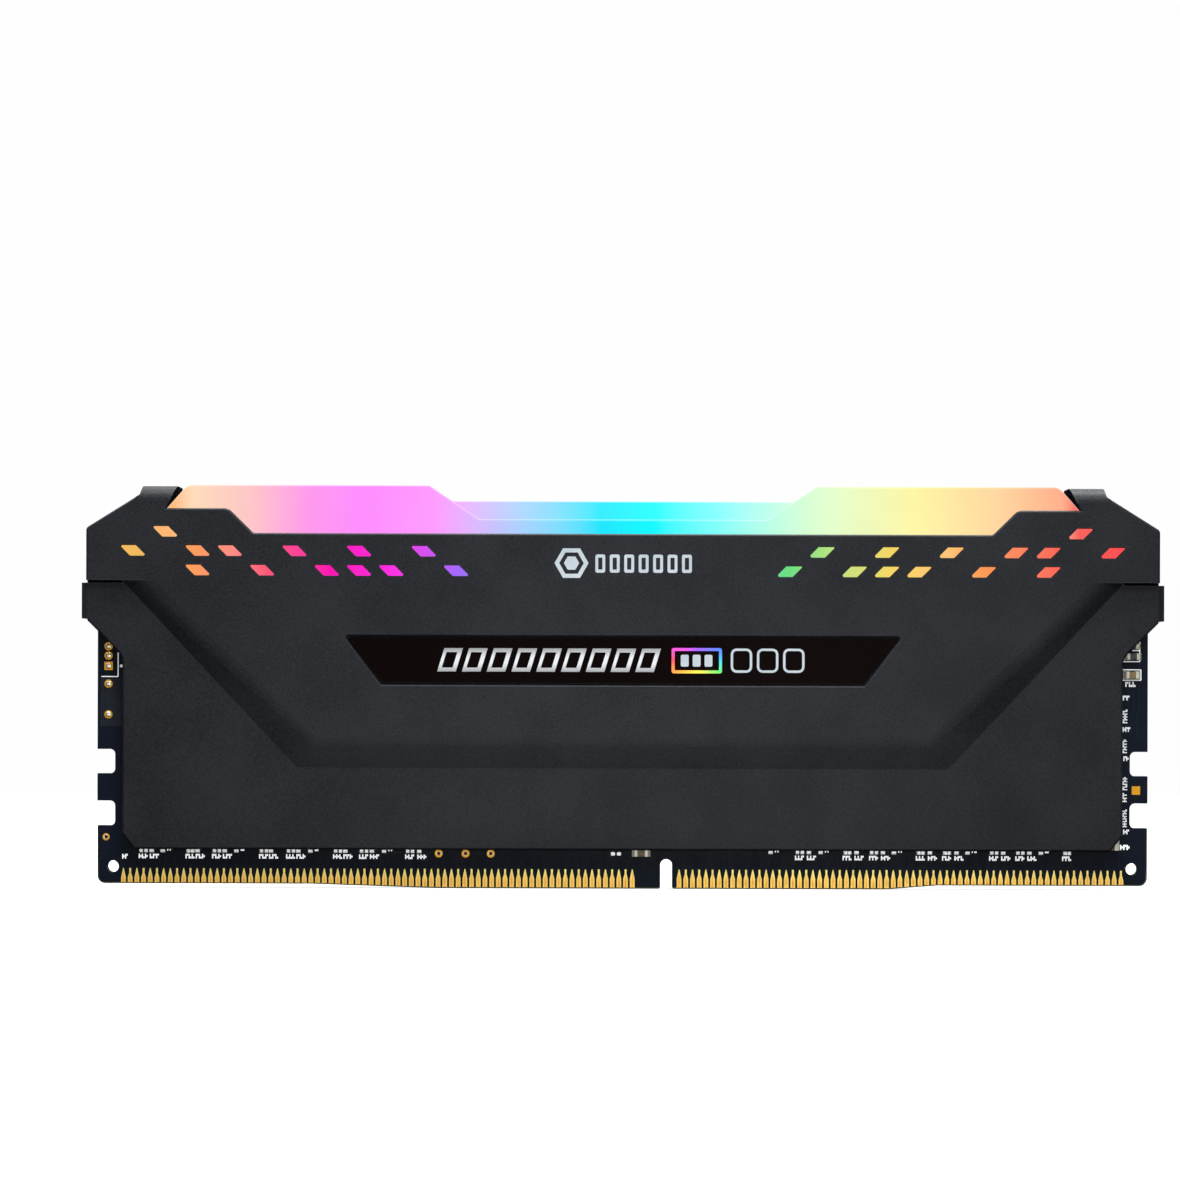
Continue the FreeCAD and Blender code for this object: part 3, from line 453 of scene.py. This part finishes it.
NODE_MATERIALS = {
    "circuit_board": "board",
    "front_contacts": "contacts",
    "rear_contacts": "contacts",
    "test_pads": "gold",
    "front_heat_spreader": "powder_coat",
    "rear_heat_spreader": "powder_coat",
    "light_bar": "diffuser",
    "front_nameplate": "gloss",
    "rear_label": "gloss",
    "front_thermal_pad": "pad",
    "rear_thermal_pad": "pad",
    "dram_solder_balls": "tin",
    "boost_inductor": "ferrite",
    "resistor_arrays": "resistor",
    "chip_resistors": "resistor",
    "bypass_capacitors": "ceramic",
    "bulk_capacitors": "ceramic",
}


def dress_nodes():
    """Give every CAD node its material."""
    for name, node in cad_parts.items():
        kind = NODE_MATERIALS.get(name, "epoxy")
        if name.startswith("led_") and name != "led_controller":
            kind = "led"
        for slot in node.material_slots:
            slot.material = MATERIALS[kind]
    # The bar's glow is for the eye only: the black coating round it stays dark
    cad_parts["light_bar"].visible_glossy = False
    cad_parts["light_bar"].visible_diffuse = False


# ---------------------------------------------------------------- meshes of the added pieces

SHOW_SIDE = -1
REAR_SIDE = 1


def rectangle(left, bottom, right, top, lean=0.0):
    """Outline of a rectangle, or of a parallelogram whose top leans to the right."""
    return [(left, bottom), (right, bottom), (right + lean, top), (left + lean, top)]


def disc(x, z, radius, corners=24):
    """Outline of a circle."""
    angles = [2 * math.pi * index / corners for index in range(corners)]
    return [(x + radius * math.cos(angle), z + radius * math.sin(angle)) for angle in angles]


def rounded(left, bottom, right, top, radius, steps=4):
    """Outline of a rectangle with round corners."""
    centres = [(right - radius, bottom + radius, -90), (right - radius, top - radius, 0)]
    centres += [(left + radius, top - radius, 90), (left + radius, bottom + radius, 180)]
    points = []
    for x, z, start in centres:
        for step in range(steps + 1):
            angle = math.radians(start + 90 * step / steps)
            points.append((x + radius * math.cos(angle), z + radius * math.sin(angle)))
    return points


def laid(along_x, start, end, low, high):
    """Rectangle from its extents along and across a part."""
    if along_x:
        return rectangle(start, low, end, high)
    return rectangle(low, start, high, end)


class Piece:
    """Mesh under construction: outlines in XZ, between depths from the board's middle plane."""

    def __init__(self, name, side=SHOW_SIDE):
        self.name = name
        self.side = side
        self.mesh = bmesh.new()

    def ring(self, outline, depth):
        """Vertices along an outline, at one depth or at a depth for each corner."""
        depths = depth if isinstance(depth, list) else [depth] * len(outline)
        ring = []
        for (x, z), corner_depth in zip(outline, depths):
            spot = Vector((x, self.side * corner_depth, z))
            ring.append(self.mesh.verts.new(spot * MM))
        return ring

    def wall(self, ring, following):
        """Faces between two rings."""
        for index in range(len(ring)):
            corners = (ring[index - 1], ring[index], following[index], following[index - 1])
            self.mesh.faces.new(corners)

    def slab(self, outline, low, high):
        """Solid with an outline, between two depths."""
        rings = [self.ring(outline, low), self.ring(outline, high)]
        self.wall(*rings)
        self.mesh.faces.new(rings[0])
        self.mesh.faces.new(rings[1])

    def frame(self, outer, inner, low, high):
        """Solid between an outer and an inner outline with the same number of corners."""
        rings = [self.ring(outer, low), self.ring(outer, high)]
        rings += [self.ring(inner, high), self.ring(inner, low)]
        for index in range(4):
            self.wall(rings[index - 1], rings[index])

    def line(self, points, width, low, high):
        """Narrow raised line through points."""
        for start, end in zip(points, points[1:]):
            run = Vector(end) - Vector(start)
            side = Vector((-run.y, run.x)).normalized() * width / 2
            corners = [Vector(start) - side, Vector(end) - side]
            corners += [Vector(end) + side, Vector(start) + side]
            self.slab([tuple(corner) for corner in corners], low, high)

    def finish(self, material, bevel=0.0, smooth=False, stands_for=None):
        """Make the object, and tie it to the model."""
        bmesh.ops.recalc_face_normals(self.mesh, faces=self.mesh.faces)
        data = bpy.data.meshes.new(self.name)
        self.mesh.to_mesh(data)
        self.mesh.free()
        data.materials.append(MATERIALS[material])
        if smooth:
            data.polygons.foreach_set("use_smooth", [True] * len(data.polygons))
        piece = bpy.data.objects.new(self.name, data)
        bpy.context.scene.collection.objects.link(piece)
        if bevel:
            rounding = piece.modifiers.new("rounding", "BEVEL")
            rounding.width = bevel * MM
            rounding.segments = 2
            rounding.limit_method = "ANGLE"
        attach(piece, BODY)
        if stands_for:
            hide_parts(stands_for)
        return piece


def solid_boxes(node):
    """Low and high corners of each separate solid of a CAD node, in millimetres."""
    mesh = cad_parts[node].data
    spots = {}
    spot_of = []
    for vertex in mesh.vertices:
        key = tuple(round(value * 1e6) for value in vertex.co)
        spot_of.append(spots.setdefault(key, len(spots)))
    parent = list(range(len(spots)))

    def root(index):
        while parent[index] != index:
            index = parent[index]
        return index

    for edge in mesh.edges:
        first, second = (root(spot_of[vertex]) for vertex in edge.vertices)
        parent[first] = second
    groups = {}
    for vertex in mesh.vertices:
        groups.setdefault(root(spot_of[vertex.index]), []).append(vertex.co / MM)
    boxes = []
    for points in groups.values():
        low = Vector([min(point[axis] for point in points) for axis in range(3)])
        high = Vector([max(point[axis] for point in points) for axis in range(3)])
        boxes.append((low, high))
    return sorted(boxes, key=lambda box: box[0].x)


# ---------------------------------------------------------------- small parts on the board

PAD_THICKNESS = 0.04
# How far up a part's metal end its solder climbs, as a share
FILLET_SHARE = 0.7
# How far a body goes into its metal ends, and stands back from the box round it
BODY_OVERLAP = 0.04
BODY_SETBACK = 0.03
# Half the gap between the two banks of a resistor array's ends
BANK_GAP = 0.1
# Height above which the large capacitors have dark bodies
DARK_PARTS_ABOVE = 28.5
# Node, body, metal, slot, banks of ends, inset of the ends, reach of the solder, length of an end
CHIP_KINDS = (
    ("resistor_arrays", "resistor", "tin", "resistor_body", 2, 0.14, 0.14, 0.32),
    ("chip_resistors", "resistor", "tin", "resistor_body", 1, 0.14, 0.14, 0.26),
    ("bypass_capacitors", "ceramic", "tin", "capacitor_ceramic", 1, 0.14, 0.14, 0.28),
    ("bulk_capacitors", "ceramic", "caps", "capacitor_ceramic", 1, 0.0, 0.3, 0.38),
)


def chip_part(bodies, metals, low, high, banks, inset, reach, end):
    """Chip part in a CAD box: a body, metal ends in one or two banks, pads and solder."""
    along_x = high.x - low.x > high.z - low.z
    start, stop, near, far = low.z, high.z, low.x, high.x
    if along_x:
        start, stop, near, far = low.x, high.x, low.z, high.z
    start += inset
    stop -= inset
    foot = BOARD_DEPTH
    top = -low.y
    solder = foot + FILLET_SHARE * (top - foot)
    first, last = start + end - BODY_OVERLAP, stop - end + BODY_OVERLAP
    inside = laid(along_x, first, last, near + BODY_SETBACK, far - BODY_SETBACK)
    bodies.slab(inside, foot + BODY_SETBACK, top - 0.02)
    spans = [(near, far)]
    if banks == 2:
        middle = (near + far) / 2
        spans = [(near - 0.02, middle - BANK_GAP), (middle + BANK_GAP, far + 0.02)]
    for bank_near, bank_far in spans:
        for tip, inward in ((start, 1), (stop, -1)):
            pad = laid(along_x, tip - inward * reach, tip + inward * end, bank_near, bank_far)
            metals.slab(pad, foot, foot + PAD_THICKNESS)
            cap = laid(along_x, tip, tip + inward * end, bank_near + 0.02, bank_far - 0.02)
            metals.slab(cap, foot + 0.01, top)
            outer = tip - inward * reach * 0.9
            fillet = laid(along_x, outer, tip + inward * 0.01, bank_near + 0.04, bank_far - 0.04)
            depths = []
            for x, z in fillet:
                place = x if along_x else z
                thin = abs(place - outer) < 1e-6
                depths.append(foot + PAD_THICKNESS + 0.01 if thin else solder)
            rings = [metals.ring(fillet, foot + 0.01), metals.ring(fillet, depths)]
            metals.wall(*rings)
            metals.mesh.faces.new(rings[0])
            metals.mesh.faces.new(rings[1])


def make_small_parts():
    """Detailed chip parts in place of the plain CAD boxes."""
    for node, material, metal, slot, banks, inset, reach, end in CHIP_KINDS:
        bodies = Piece(node + "_bodies")
        dark_bodies = Piece(node + "_dark_bodies")
        metals = Piece(node + "_ends")
        for low, high in solid_boxes(node):
            own = dark_bodies if low.z > DARK_PARTS_ABOVE else bodies
            chip_part(own, metals, low, high, banks, inset, reach, end)
        bodies.finish(material, bevel=0.03, stands_for=node)
        metals.finish(metal, bevel=0.03, stands_for=node)
        if len(dark_bodies.mesh.faces):
            dark_bodies.finish("resistor", bevel=0.03, stands_for=node)


# Two bare solder lands beside the middle capacitor: x, z, width, height
LANDS = ((-1.18, 4.42, 0.53, 0.45), (-0.42, 4.42, 0.53, 0.45))
# Profiles of the solder in a test pad, as (share of the pad's radius, height) from outside in
FILLED_PAD = ((0.72, -0.01), (0.66, 0.035), (0.5, 0.075), (0.3, 0.1), (0.1, 0.11))
OPEN_PAD = ((0.7, -0.01), (0.6, 0.05), (0.45, -0.01))
OPEN_PAD_RADIUS = 0.5


def make_lands():
    """Domed solder on the two bare lands, and in the test pads left of the middle."""
    lands = Piece("solder_lands")
    for x, z, width, height in LANDS:
        for share, low, high in ((1.0, 0.0, 0.05), (0.75, 0.05, 0.09)):
            half_width = width / 2 * share
            half_height = height / 2 * share
            outline = rounded(x - half_width, z - half_height, x + half_width, z + half_height,
                              0.14 * share)
            lands.slab(outline, BOARD_DEPTH + low, BOARD_DEPTH + high)
    lands.finish("tin", bevel=0.02)
    fillings = Piece("pad_fillings")
    for low, high in solid_boxes("test_pads"):
        middle = (low + high) / 2
        if middle.x > 0:
            continue
        radius = min(high.x - low.x, high.z - low.z) / 2
        top = -low.y
        profile = OPEN_PAD if radius < OPEN_PAD_RADIUS else FILLED_PAD
        rings = []
        for share, height in profile:
            outline = disc(middle.x, middle.z, radius * share)
            rings.append(fillings.ring(outline, top + height))
        for ring, following in zip(rings, rings[1:]):
            fillings.wall(ring, following)
        if profile is FILLED_PAD:
            fillings.mesh.faces.new(rings[-1])
    fillings.finish("filling", smooth=True)


# ---------------------------------------------------------------- printed marks and copper

INK_TOP = BOARD_DEPTH + 0.012
INK_WIDTH = 0.13
# Bottom and top of the marks under the small parts
LABEL_RANGE = (3.68, 4.26)
# Rows of small marks at the right end: left, bottom, right, top, and how many
SIDE_MARKS = (
    (63.82, 25.81, 65.17, 26.46, 3),
    (63.5, 24.1, 64.4, 24.7, 2),
    (63.5, 20.1, 64.5, 20.7, 3),
    (63.6, 16.4, 64.3, 17.0, 2),
    (63.6, 7.1, 64.4, 7.7, 2),
    (63.2, 5.1, 64.45, 5.75, 3),
)
# Columns of small marks at the right end
SIDE_COLUMNS = (
    (63.5, 21.2, 64.1, 23.0, 5),
    (63.5, 17.4, 64.05, 19.2, 5),
    (63.5, 12.7, 64.1, 14.4, 5),
    (63.5, 11.2, 64.05, 12.4, 3),
    (63.5, 8.0, 64.05, 10.3, 7),
)
# Printed outlines, as points joined by lines
INK_LINES = (
    ((63.3, 26.66), (65.8, 26.66), (65.8, 27.98), (63.3, 27.98)),
    ((63.3, 29.02), (65.64, 29.02), (65.64, 31.7)),
    ((64.7, 30.42), (65.64, 30.42)),
    ((-66.2, 26.75), (-64.09, 26.75), (-64.09, 29.8)),
)
# A printed dot: x, z, radius
INK_DOT = (-63.7, 28.1, 0.19)


def marks(piece, left, bottom, right, top, count, chance, upright=True):
    """Row or column of small printed marks, each a bar with a shorter block beside it."""
    for index in range(count):
        if upright:
            cell = (right - left) / count
            start = left + cell * index
            bar = (start, bottom, start + cell * 0.38, top)
            height = (top - bottom) * 0.4
            foot = bottom + (top - bottom - height) * chance.choice((0, 0.5, 1))
            block = (start + cell * 0.46, foot, start + cell * 0.88, foot + height)
        else:
            cell = (top - bottom) / count
            start = bottom + cell * index
            bar = (left, start, right, start + cell * 0.34)
            width = (right - left) * 0.36
            foot = left + (right - left - width) * chance.choice((0, 0.5, 1))
            block = (foot, start + cell * 0.44, foot + width, start + cell * 0.82)
        for outline in (bar, block):
            piece.slab(rectangle(*outline), BOARD_DEPTH, INK_TOP)


def make_print():
    """White printed marks on the board: plain bars and blocks, with no lettering."""
    chance = random.Random(SEED)
    ink = Piece("board_print")
    bottom, top = LABEL_RANGE
    for low, high in solid_boxes("resistor_arrays"):
        middle = (low.x + high.x) / 2
        marks(ink, middle - 0.63, bottom, middle + 0.55, top, 3, chance)
    for low, high in solid_boxes("bypass_capacitors"):
        middle = (low.x + high.x) / 2
        marks(ink, middle - 0.25, bottom, middle + 0.95, top, 3, chance)
    for low, high in solid_boxes("chip_resistors"):
        middle = (low.x + high.x) / 2
        marks(ink, middle + 0.55, 4.66, middle + 1.2, 5.3, 2, chance)
    marks(ink, -63.5, 3.62, -62.76, 4.24, 2, chance)
    for row in SIDE_MARKS:
        marks(ink, *row, chance)
    for column in SIDE_COLUMNS:
        marks(ink, *column, chance, upright=False)
    for points in INK_LINES:
        ink.line(points, INK_WIDTH, BOARD_DEPTH, INK_TOP)
    ink.slab(disc(*INK_DOT), BOARD_DEPTH, INK_TOP)
    ink.finish("ink")


TRACE_TOP = BOARD_DEPTH + 0.008
TRACE_WIDTH = 0.1
VIA_RADII = (0.17, 0.08)
VIA_CORNERS = 12
# Cross-hatched copper: left, bottom, right, top, then the step and width of its lines
HATCH_FIELD = (-66.3, 20.5, -63.3, 26.5)
HATCH_STEP = 0.5
HATCH_WIDTH = 0.13
# Upright copper lines near the right end
LONG_TRACES = (63.9, 64.6, 65.3)


def hatch_lines(left, bottom, right, top):
    """Crossed diagonal lines that fill a rectangle, clipped to it."""
    lines = []
    width, height = right - left, top - bottom
    count = int((width + height) / HATCH_STEP)
    for index in range(1, count):
        offset = index * HATCH_STEP
        start = (min(offset, width), max(offset - width, 0))
        end = (max(offset - height, 0), min(offset, height))
        rising = [(left + width - x, bottom + z) for x, z in (start, end)]
        falling = [(left + x, bottom + z) for x, z in (start, end)]
        lines += [rising, falling]
    return lines


def make_copper():
    """Copper lines under the solder mask on both faces, with plated vias."""
    for name, side in (("front_traces", SHOW_SIDE), ("rear_traces", REAR_SIDE)):
        chance = random.Random(SEED + side)
        copper = Piece(name, side)
        contacts = solid_boxes("front_contacts")
        for index, (low, high) in enumerate(contacts):
            if index % 7 not in (1, 3, 5) and index % 3:
                continue
            x = (low.x + high.x) / 2
            jog = chance.choice((-0.3, 0.3))
            rise = chance.choice((0.35, 0.5, 0.7))
            points = [(x, high.z - 0.05), (x, high.z + 0.25)]
            points += [(x + jog, high.z + 0.55), (x + jog, high.z + 0.55 + rise)]
            copper.line(points, TRACE_WIDTH, BOARD_DEPTH, TRACE_TOP)
            via = (x + jog, high.z + 0.6 + rise)
            outer, inner = (disc(*via, radius, VIA_CORNERS) for radius in VIA_RADII)
            copper.frame(outer, inner, BOARD_DEPTH, TRACE_TOP)
        for start in range(-58, 62, 5):
            x = start + chance.uniform(-1, 1)
            z = chance.uniform(4.75, 5.15)
            run = chance.uniform(1.5, 3.5)
            points = [(x, z), (x + run, z), (x + run + 0.3, z - 0.3), (x + run + 1.2, z - 0.3)]
            copper.line(points, 0.12, BOARD_DEPTH, TRACE_TOP)
        hatching = Piece(name.replace("traces", "hatching"), side)
        for line in hatch_lines(*HATCH_FIELD):
            hatching.line(line, HATCH_WIDTH, BOARD_DEPTH, TRACE_TOP)
        hatching.finish("hatch")
        for x in LONG_TRACES:
            points = [(x, 19.2), (x, 22.4), (x + 0.3, 22.7), (x + 0.3, 25.6)]
            copper.line(points, TRACE_WIDTH, BOARD_DEPTH, TRACE_TOP)
        copper.finish("trace")


# ---------------------------------------------------------------- generic graphics

# The row of slanted frames on the plate: first left edge, bottom, top, step, width and lean
SLANTED_ROW = (-23.4, 27.5, 30.45, 3.12, 2.35, 0.9)
SLANTED_COUNT = 9
# Left edges of the outlines to the right of the colour frame
OUTLINES_RIGHT = (13.6, 16.9, 20.2)
# The print on the plates is sunk a little into them, and stands a little proud
PRINT_FOOT = PLATE_DEPTH - 0.01
PRINT_DEPTH = PLATE_DEPTH + 0.012


def make_plate_graphics():
    """Plain graphics on the show side's plate: slanted frames, a colour frame and outlines."""
    left, bottom, top, step, width, lean = SLANTED_ROW
    silver = Piece("plate_slanted_frames")
    for index in range(SLANTED_COUNT):
        x = left + step * index
        outer = rectangle(x, bottom, x + width, top, lean)
        inner = rectangle(x + 0.58, bottom + 0.5, x + width - 0.4, top - 0.5, lean * 0.66)
        silver.frame(outer, inner, PRINT_FOOT, PRINT_DEPTH)
    silver.finish("silver")
    colours = Piece("plate_colour_frame")
    x0, z0, x1, z1 = SPECTRUM_FRAME
    outer = rounded(x0, z0, x1, z1, 0.3)
    inner = rounded(x0 + 0.38, z0 + 0.38, x1 - 0.38, z1 - 0.38, 0.12)
    colours.frame(outer, inner, PRINT_FOOT, PRINT_DEPTH)
    colours.finish("spectrum")
    pale = Piece("plate_pale_bars")
    for index in range(3):
        x = x0 + 1.15 + 1.5 * index
        pale.slab(rounded(x, z0 + 0.85, x + 1.0, z1 - 0.85, 0.2), PRINT_FOOT, PRINT_DEPTH)
    for x in OUTLINES_RIGHT:
        outer = rounded(x, z0 + 0.1, x + 2.7, z1 - 0.05, 0.75, 6)
        inner = rounded(x + 0.3, z0 + 0.4, x + 2.4, z1 - 0.35, 0.45, 6)
        pale.frame(outer, inner, PRINT_FOOT, PRINT_DEPTH)
    pale.finish("badge")


# The hexagon's x, z and radius, then the bars' first left edge, bottom, top, step and width
EMBLEM_HEXAGON = (-6.5, 41.2, 2.15)
EMBLEM_BARS = (-3.5, 40.0, 42.3, 1.82, 1.25)
EMBLEM_BAR_COUNT = 7


def make_emblem():
    """Plain emblem printed on the show side: a hexagon ring and a row of short bars."""
    emblem = Piece("spreader_emblem")
    low, high = SHEET_DEPTH - 0.02, SHEET_DEPTH + 0.01
    x, z, radius = EMBLEM_HEXAGON
    emblem.frame(disc(x, z, radius, 6), disc(x, z, radius * 0.72, 6), low, high)
    emblem.slab(disc(x, z, radius * 0.45, 6), low, high)
    left, bottom, top, step, width = EMBLEM_BARS
    for index in range(EMBLEM_BAR_COUNT):
        start = left + step * index
        outer = rounded(start, bottom, start + width, top, 0.25)
        inner = rounded(start + 0.36, bottom + 0.4, start + width - 0.36, top - 0.4, 0.08)
        emblem.frame(outer, inner, low, high)
    emblem.finish("badge")


# Windows of the spreaders, as in the CAD: rows of z and places, then sizes and wall depths
WINDOW_ORIGIN = 61.82
WINDOW_PITCH = 4.076
WINDOW_ROWS = ((45.1, (1,)), (42.69, (0, 2, 3, 5, 7, 9)), (40.24, (2, 4, 6, 7, 8, 10)))
WINDOW_HALF = (1.1, 0.705)
WINDOW_LEAN = 0.705
# Width and depths of the painted shade strips along the windows
REVEAL_WIDTH = 0.12
REVEAL_DEPTHS = (3.25, 3.9)


def make_reveal_shadows():
    """Painted shade: dark strips along the top and the right side of every window."""
    half, rise = WINDOW_HALF
    for name, face in (("front_reveal_shadows", SHOW_SIDE), ("rear_reveal_shadows", REAR_SIDE)):
        reveal_shadows = Piece(name, face)
        for z, places in WINDOW_ROWS:
            for place in places:
                for side in (-1, 1):
                    x = side * (WINDOW_ORIGIN - WINDOW_PITCH * place)
                    lean = side * WINDOW_LEAN
                    line = [(x - half + lean, z + rise), (x + half + lean, z + rise)]
                    line.append((x + half - lean, z - rise))
                    reveal_shadows.line(line, REVEAL_WIDTH, *REVEAL_DEPTHS)
        reveal_shadows.finish("gap")


# Painted shadow in the gap under the step at each end: inner x, bottom, outer x, top, and its
# depths
SEAM_SHADOW = (63.32, 38.61, 67.66, 38.89)
SEAM_SHADOW_DEPTHS = (2.45, 2.95)


def make_seam_shadows():
    """Painted shadow: dark strips in the gap under the step at both ends of both spreaders."""
    left, bottom, right, top = SEAM_SHADOW
    for name, side in (("front_seam_shadows", SHOW_SIDE), ("rear_seam_shadows", REAR_SIDE)):
        seam_shadows = Piece(name, side)
        seam_shadows.slab(rectangle(left, bottom, right, top), *SEAM_SHADOW_DEPTHS)
        seam_shadows.slab(rectangle(-right, bottom, -left, top), *SEAM_SHADOW_DEPTHS)
        seam_shadows.finish("gap")


# Rows of bars on the rear plate, and the span and heights of its upright lines
LABEL_ROWS = (27.2, 28.2, 29.2, 30.2)
LABEL_LINES = (10.0, 24.0, 27.2, 30.6)


def make_rear_graphics():
    """Plain bars and lines printed on the rear plate."""
    chance = random.Random(SEED)
    label = Piece("rear_label_print", REAR_SIDE)
    low, high = PRINT_FOOT, PRINT_DEPTH
    for row, z in enumerate(LABEL_ROWS):
        x = -26.0
        while x < 2 - 3 * row:
            run = chance.uniform(1.0, 3.2)
            label.slab(rectangle(x, z, x + run, z + 0.38), low, high)
            x += run + 0.5
    x, right, bottom, top = LABEL_LINES
    while x < right:
        width = chance.choice((0.15, 0.3, 0.45))
        label.slab(rectangle(x, bottom, x + width, top), low, high)
        x += width + chance.choice((0.2, 0.35))
    label.finish("badge")


# ---------------------------------------------------------------- stage, light and camera

FLOOR_RADIUS = 3000.0
# Distances between which the floor fades into the backdrop
FLOOR_FADE = (120.0, 420.0)
CAMERA_PLACE = (0.0, -420.7, 25.49)
CAMERA_LENS = 100.9
CAMERA_SHIFT = (-0.02775, 0.083)
CAMERA_ROLL = -0.17
PALE = (0.99, 0.99, 0.99, 1.0)
# Soft lights: name, place, aim, size and power in watts
LIGHTS = (
    ("front", (45, -440, 20), (0, 0, 25), (80, 80), 0.062),
    ("front_right", (60, -430, 60), (0, 0, 25), (60, 60), 0.055),
    ("high", (60, -450, 520), (0, 0, 25), (250, 150), 1.1),
    ("right_high", (250, -420, 450), (0, 0, 25), (200, 200), 1.1),
    ("top", (70, -60, 600), (0, 0, 25), (500, 200), 7.3),
    ("over", (-150, 170, 480), (0, 0, 30), (900, 300), 4.2),
    ("table_bounce", (0, -70, 2), (0, -70, 60), (90, 100), 0.036),
    ("low_front", (-10, -400, 4), (-10, -200, 120), (600, 300), 0.42),
    ("low_middle", (0, -280, 3), (0, -100, 60), (360, 240), 0.034),
)
# Soft lights for the rear and the ends, which leave no gleam on the edges seen from the front
BACK_LIGHTS = (
    ("rear", (60, 430, 90), (0, 0, 25), (200, 160), 0.9),
    ("rear_low", (0, 380, 6), (0, 180, 110), (500, 260), 0.6),
    ("left_side", (-400, 110, 80), (-60, 0, 25), (160, 160), 0.6),
    ("right_side", (400, 110, 80), (60, 0, 25), (160, 160), 0.6),
)


def make_floor():
    """Pale floor that fades into the backdrop's tone away from the module."""
    bm = bmesh.new()
    bmesh.ops.create_circle(bm, cap_ends=True, segments=96, radius=FLOOR_RADIUS * MM)
    mesh = bpy.data.meshes.new("floor")
    bm.to_mesh(mesh)
    bm.free()
    floor = bpy.data.objects.new("floor", mesh)
    bpy.context.scene.collection.objects.link(floor)
    shader = Shader("pale_floor")
    distance = shader.add("ShaderNodeVectorMath", operation="LENGTH")
    shader.feed(shader.place, distance.inputs[0])
    fade = shader.rescale(distance.outputs["Value"], FLOOR_FADE[0] * MM, FLOOR_FADE[1] * MM)
    shader.set(Base_Color=shader.mix(fade, (0.5, 0.5, 0.5, 1.0), (0.0, 0.0, 0.0, 1.0)))
    shader.set(Emission_Color=PALE)
    shader.set(Emission_Strength=shader.rescale(fade, 0.0, 1.0, 0.62, 1.0))
    shader.set(Roughness=0.9, Specular_IOR_Level=0.0)
    mesh.materials.append(shader.material)
    floor.visible_diffuse = False
    floor.visible_glossy = False


def make_world():
    """Backdrop: pale to look at, and a dim even light on the module."""
    world = bpy.data.worlds.new("backdrop")
    world.use_nodes = True
    bpy.context.scene.world = world
    tree = world.node_tree
    background = tree.nodes["Background"]
    path = tree.nodes.new("ShaderNodeLightPath")
    mix = tree.nodes.new("ShaderNodeMix")
    mix.data_type = "RGBA"
    mix.inputs[6].default_value = (0.01, 0.01, 0.011, 1.0)
    mix.inputs[7].default_value = PALE
    tree.links.new(path.outputs["Is Camera Ray"], mix.inputs[0])
    tree.links.new(mix.outputs[2], background.inputs["Color"])


def make_light(name, place, aim, size, power, gleams=True):
    """Soft rectangular light aimed at a point; power in watts."""
    light = bpy.data.lights.new(name, "AREA")
    light.shape = "RECTANGLE"
    light.size = size[0] * MM
    light.size_y = size[1] * MM
    light.energy = power
    lamp = bpy.data.objects.new(name, light)
    lamp.location = Vector(place) * MM
    direction = Vector(aim) - Vector(place)
    lamp.rotation_euler = direction.to_track_quat("-Z", "Y").to_euler()
    lamp.visible_camera = False
    lamp.visible_glossy = gleams
    bpy.context.scene.collection.objects.link(lamp)


def make_camera():
    """Camera square on to the show side, level with the module's middle."""
    data = bpy.data.cameras.new("camera")
    data.lens = CAMERA_LENS
    data.sensor_width = 36.0
    data.shift_x, data.shift_y = CAMERA_SHIFT
    data.clip_start = 0.01
    camera = bpy.data.objects.new("camera", data)
    camera.location = Vector(CAMERA_PLACE) * MM
    camera.rotation_euler = (math.pi / 2, math.radians(CAMERA_ROLL), 0.0)
    bpy.context.scene.collection.objects.link(camera)
    bpy.context.scene.camera = camera


def make_stage():
    """Floor, backdrop, lights and camera."""
    make_floor()
    make_world()
    for light in LIGHTS:
        make_light(*light)
    for light in BACK_LIGHTS:
        make_light(*light, gleams=False)
    make_camera()
    bpy.context.scene.view_settings.view_transform = "Standard"


dress_nodes()
make_small_parts()
make_lands()
make_print()
make_copper()
make_plate_graphics()
make_emblem()
make_reveal_shadows()
make_seam_shadows()
make_rear_graphics()
make_stage()
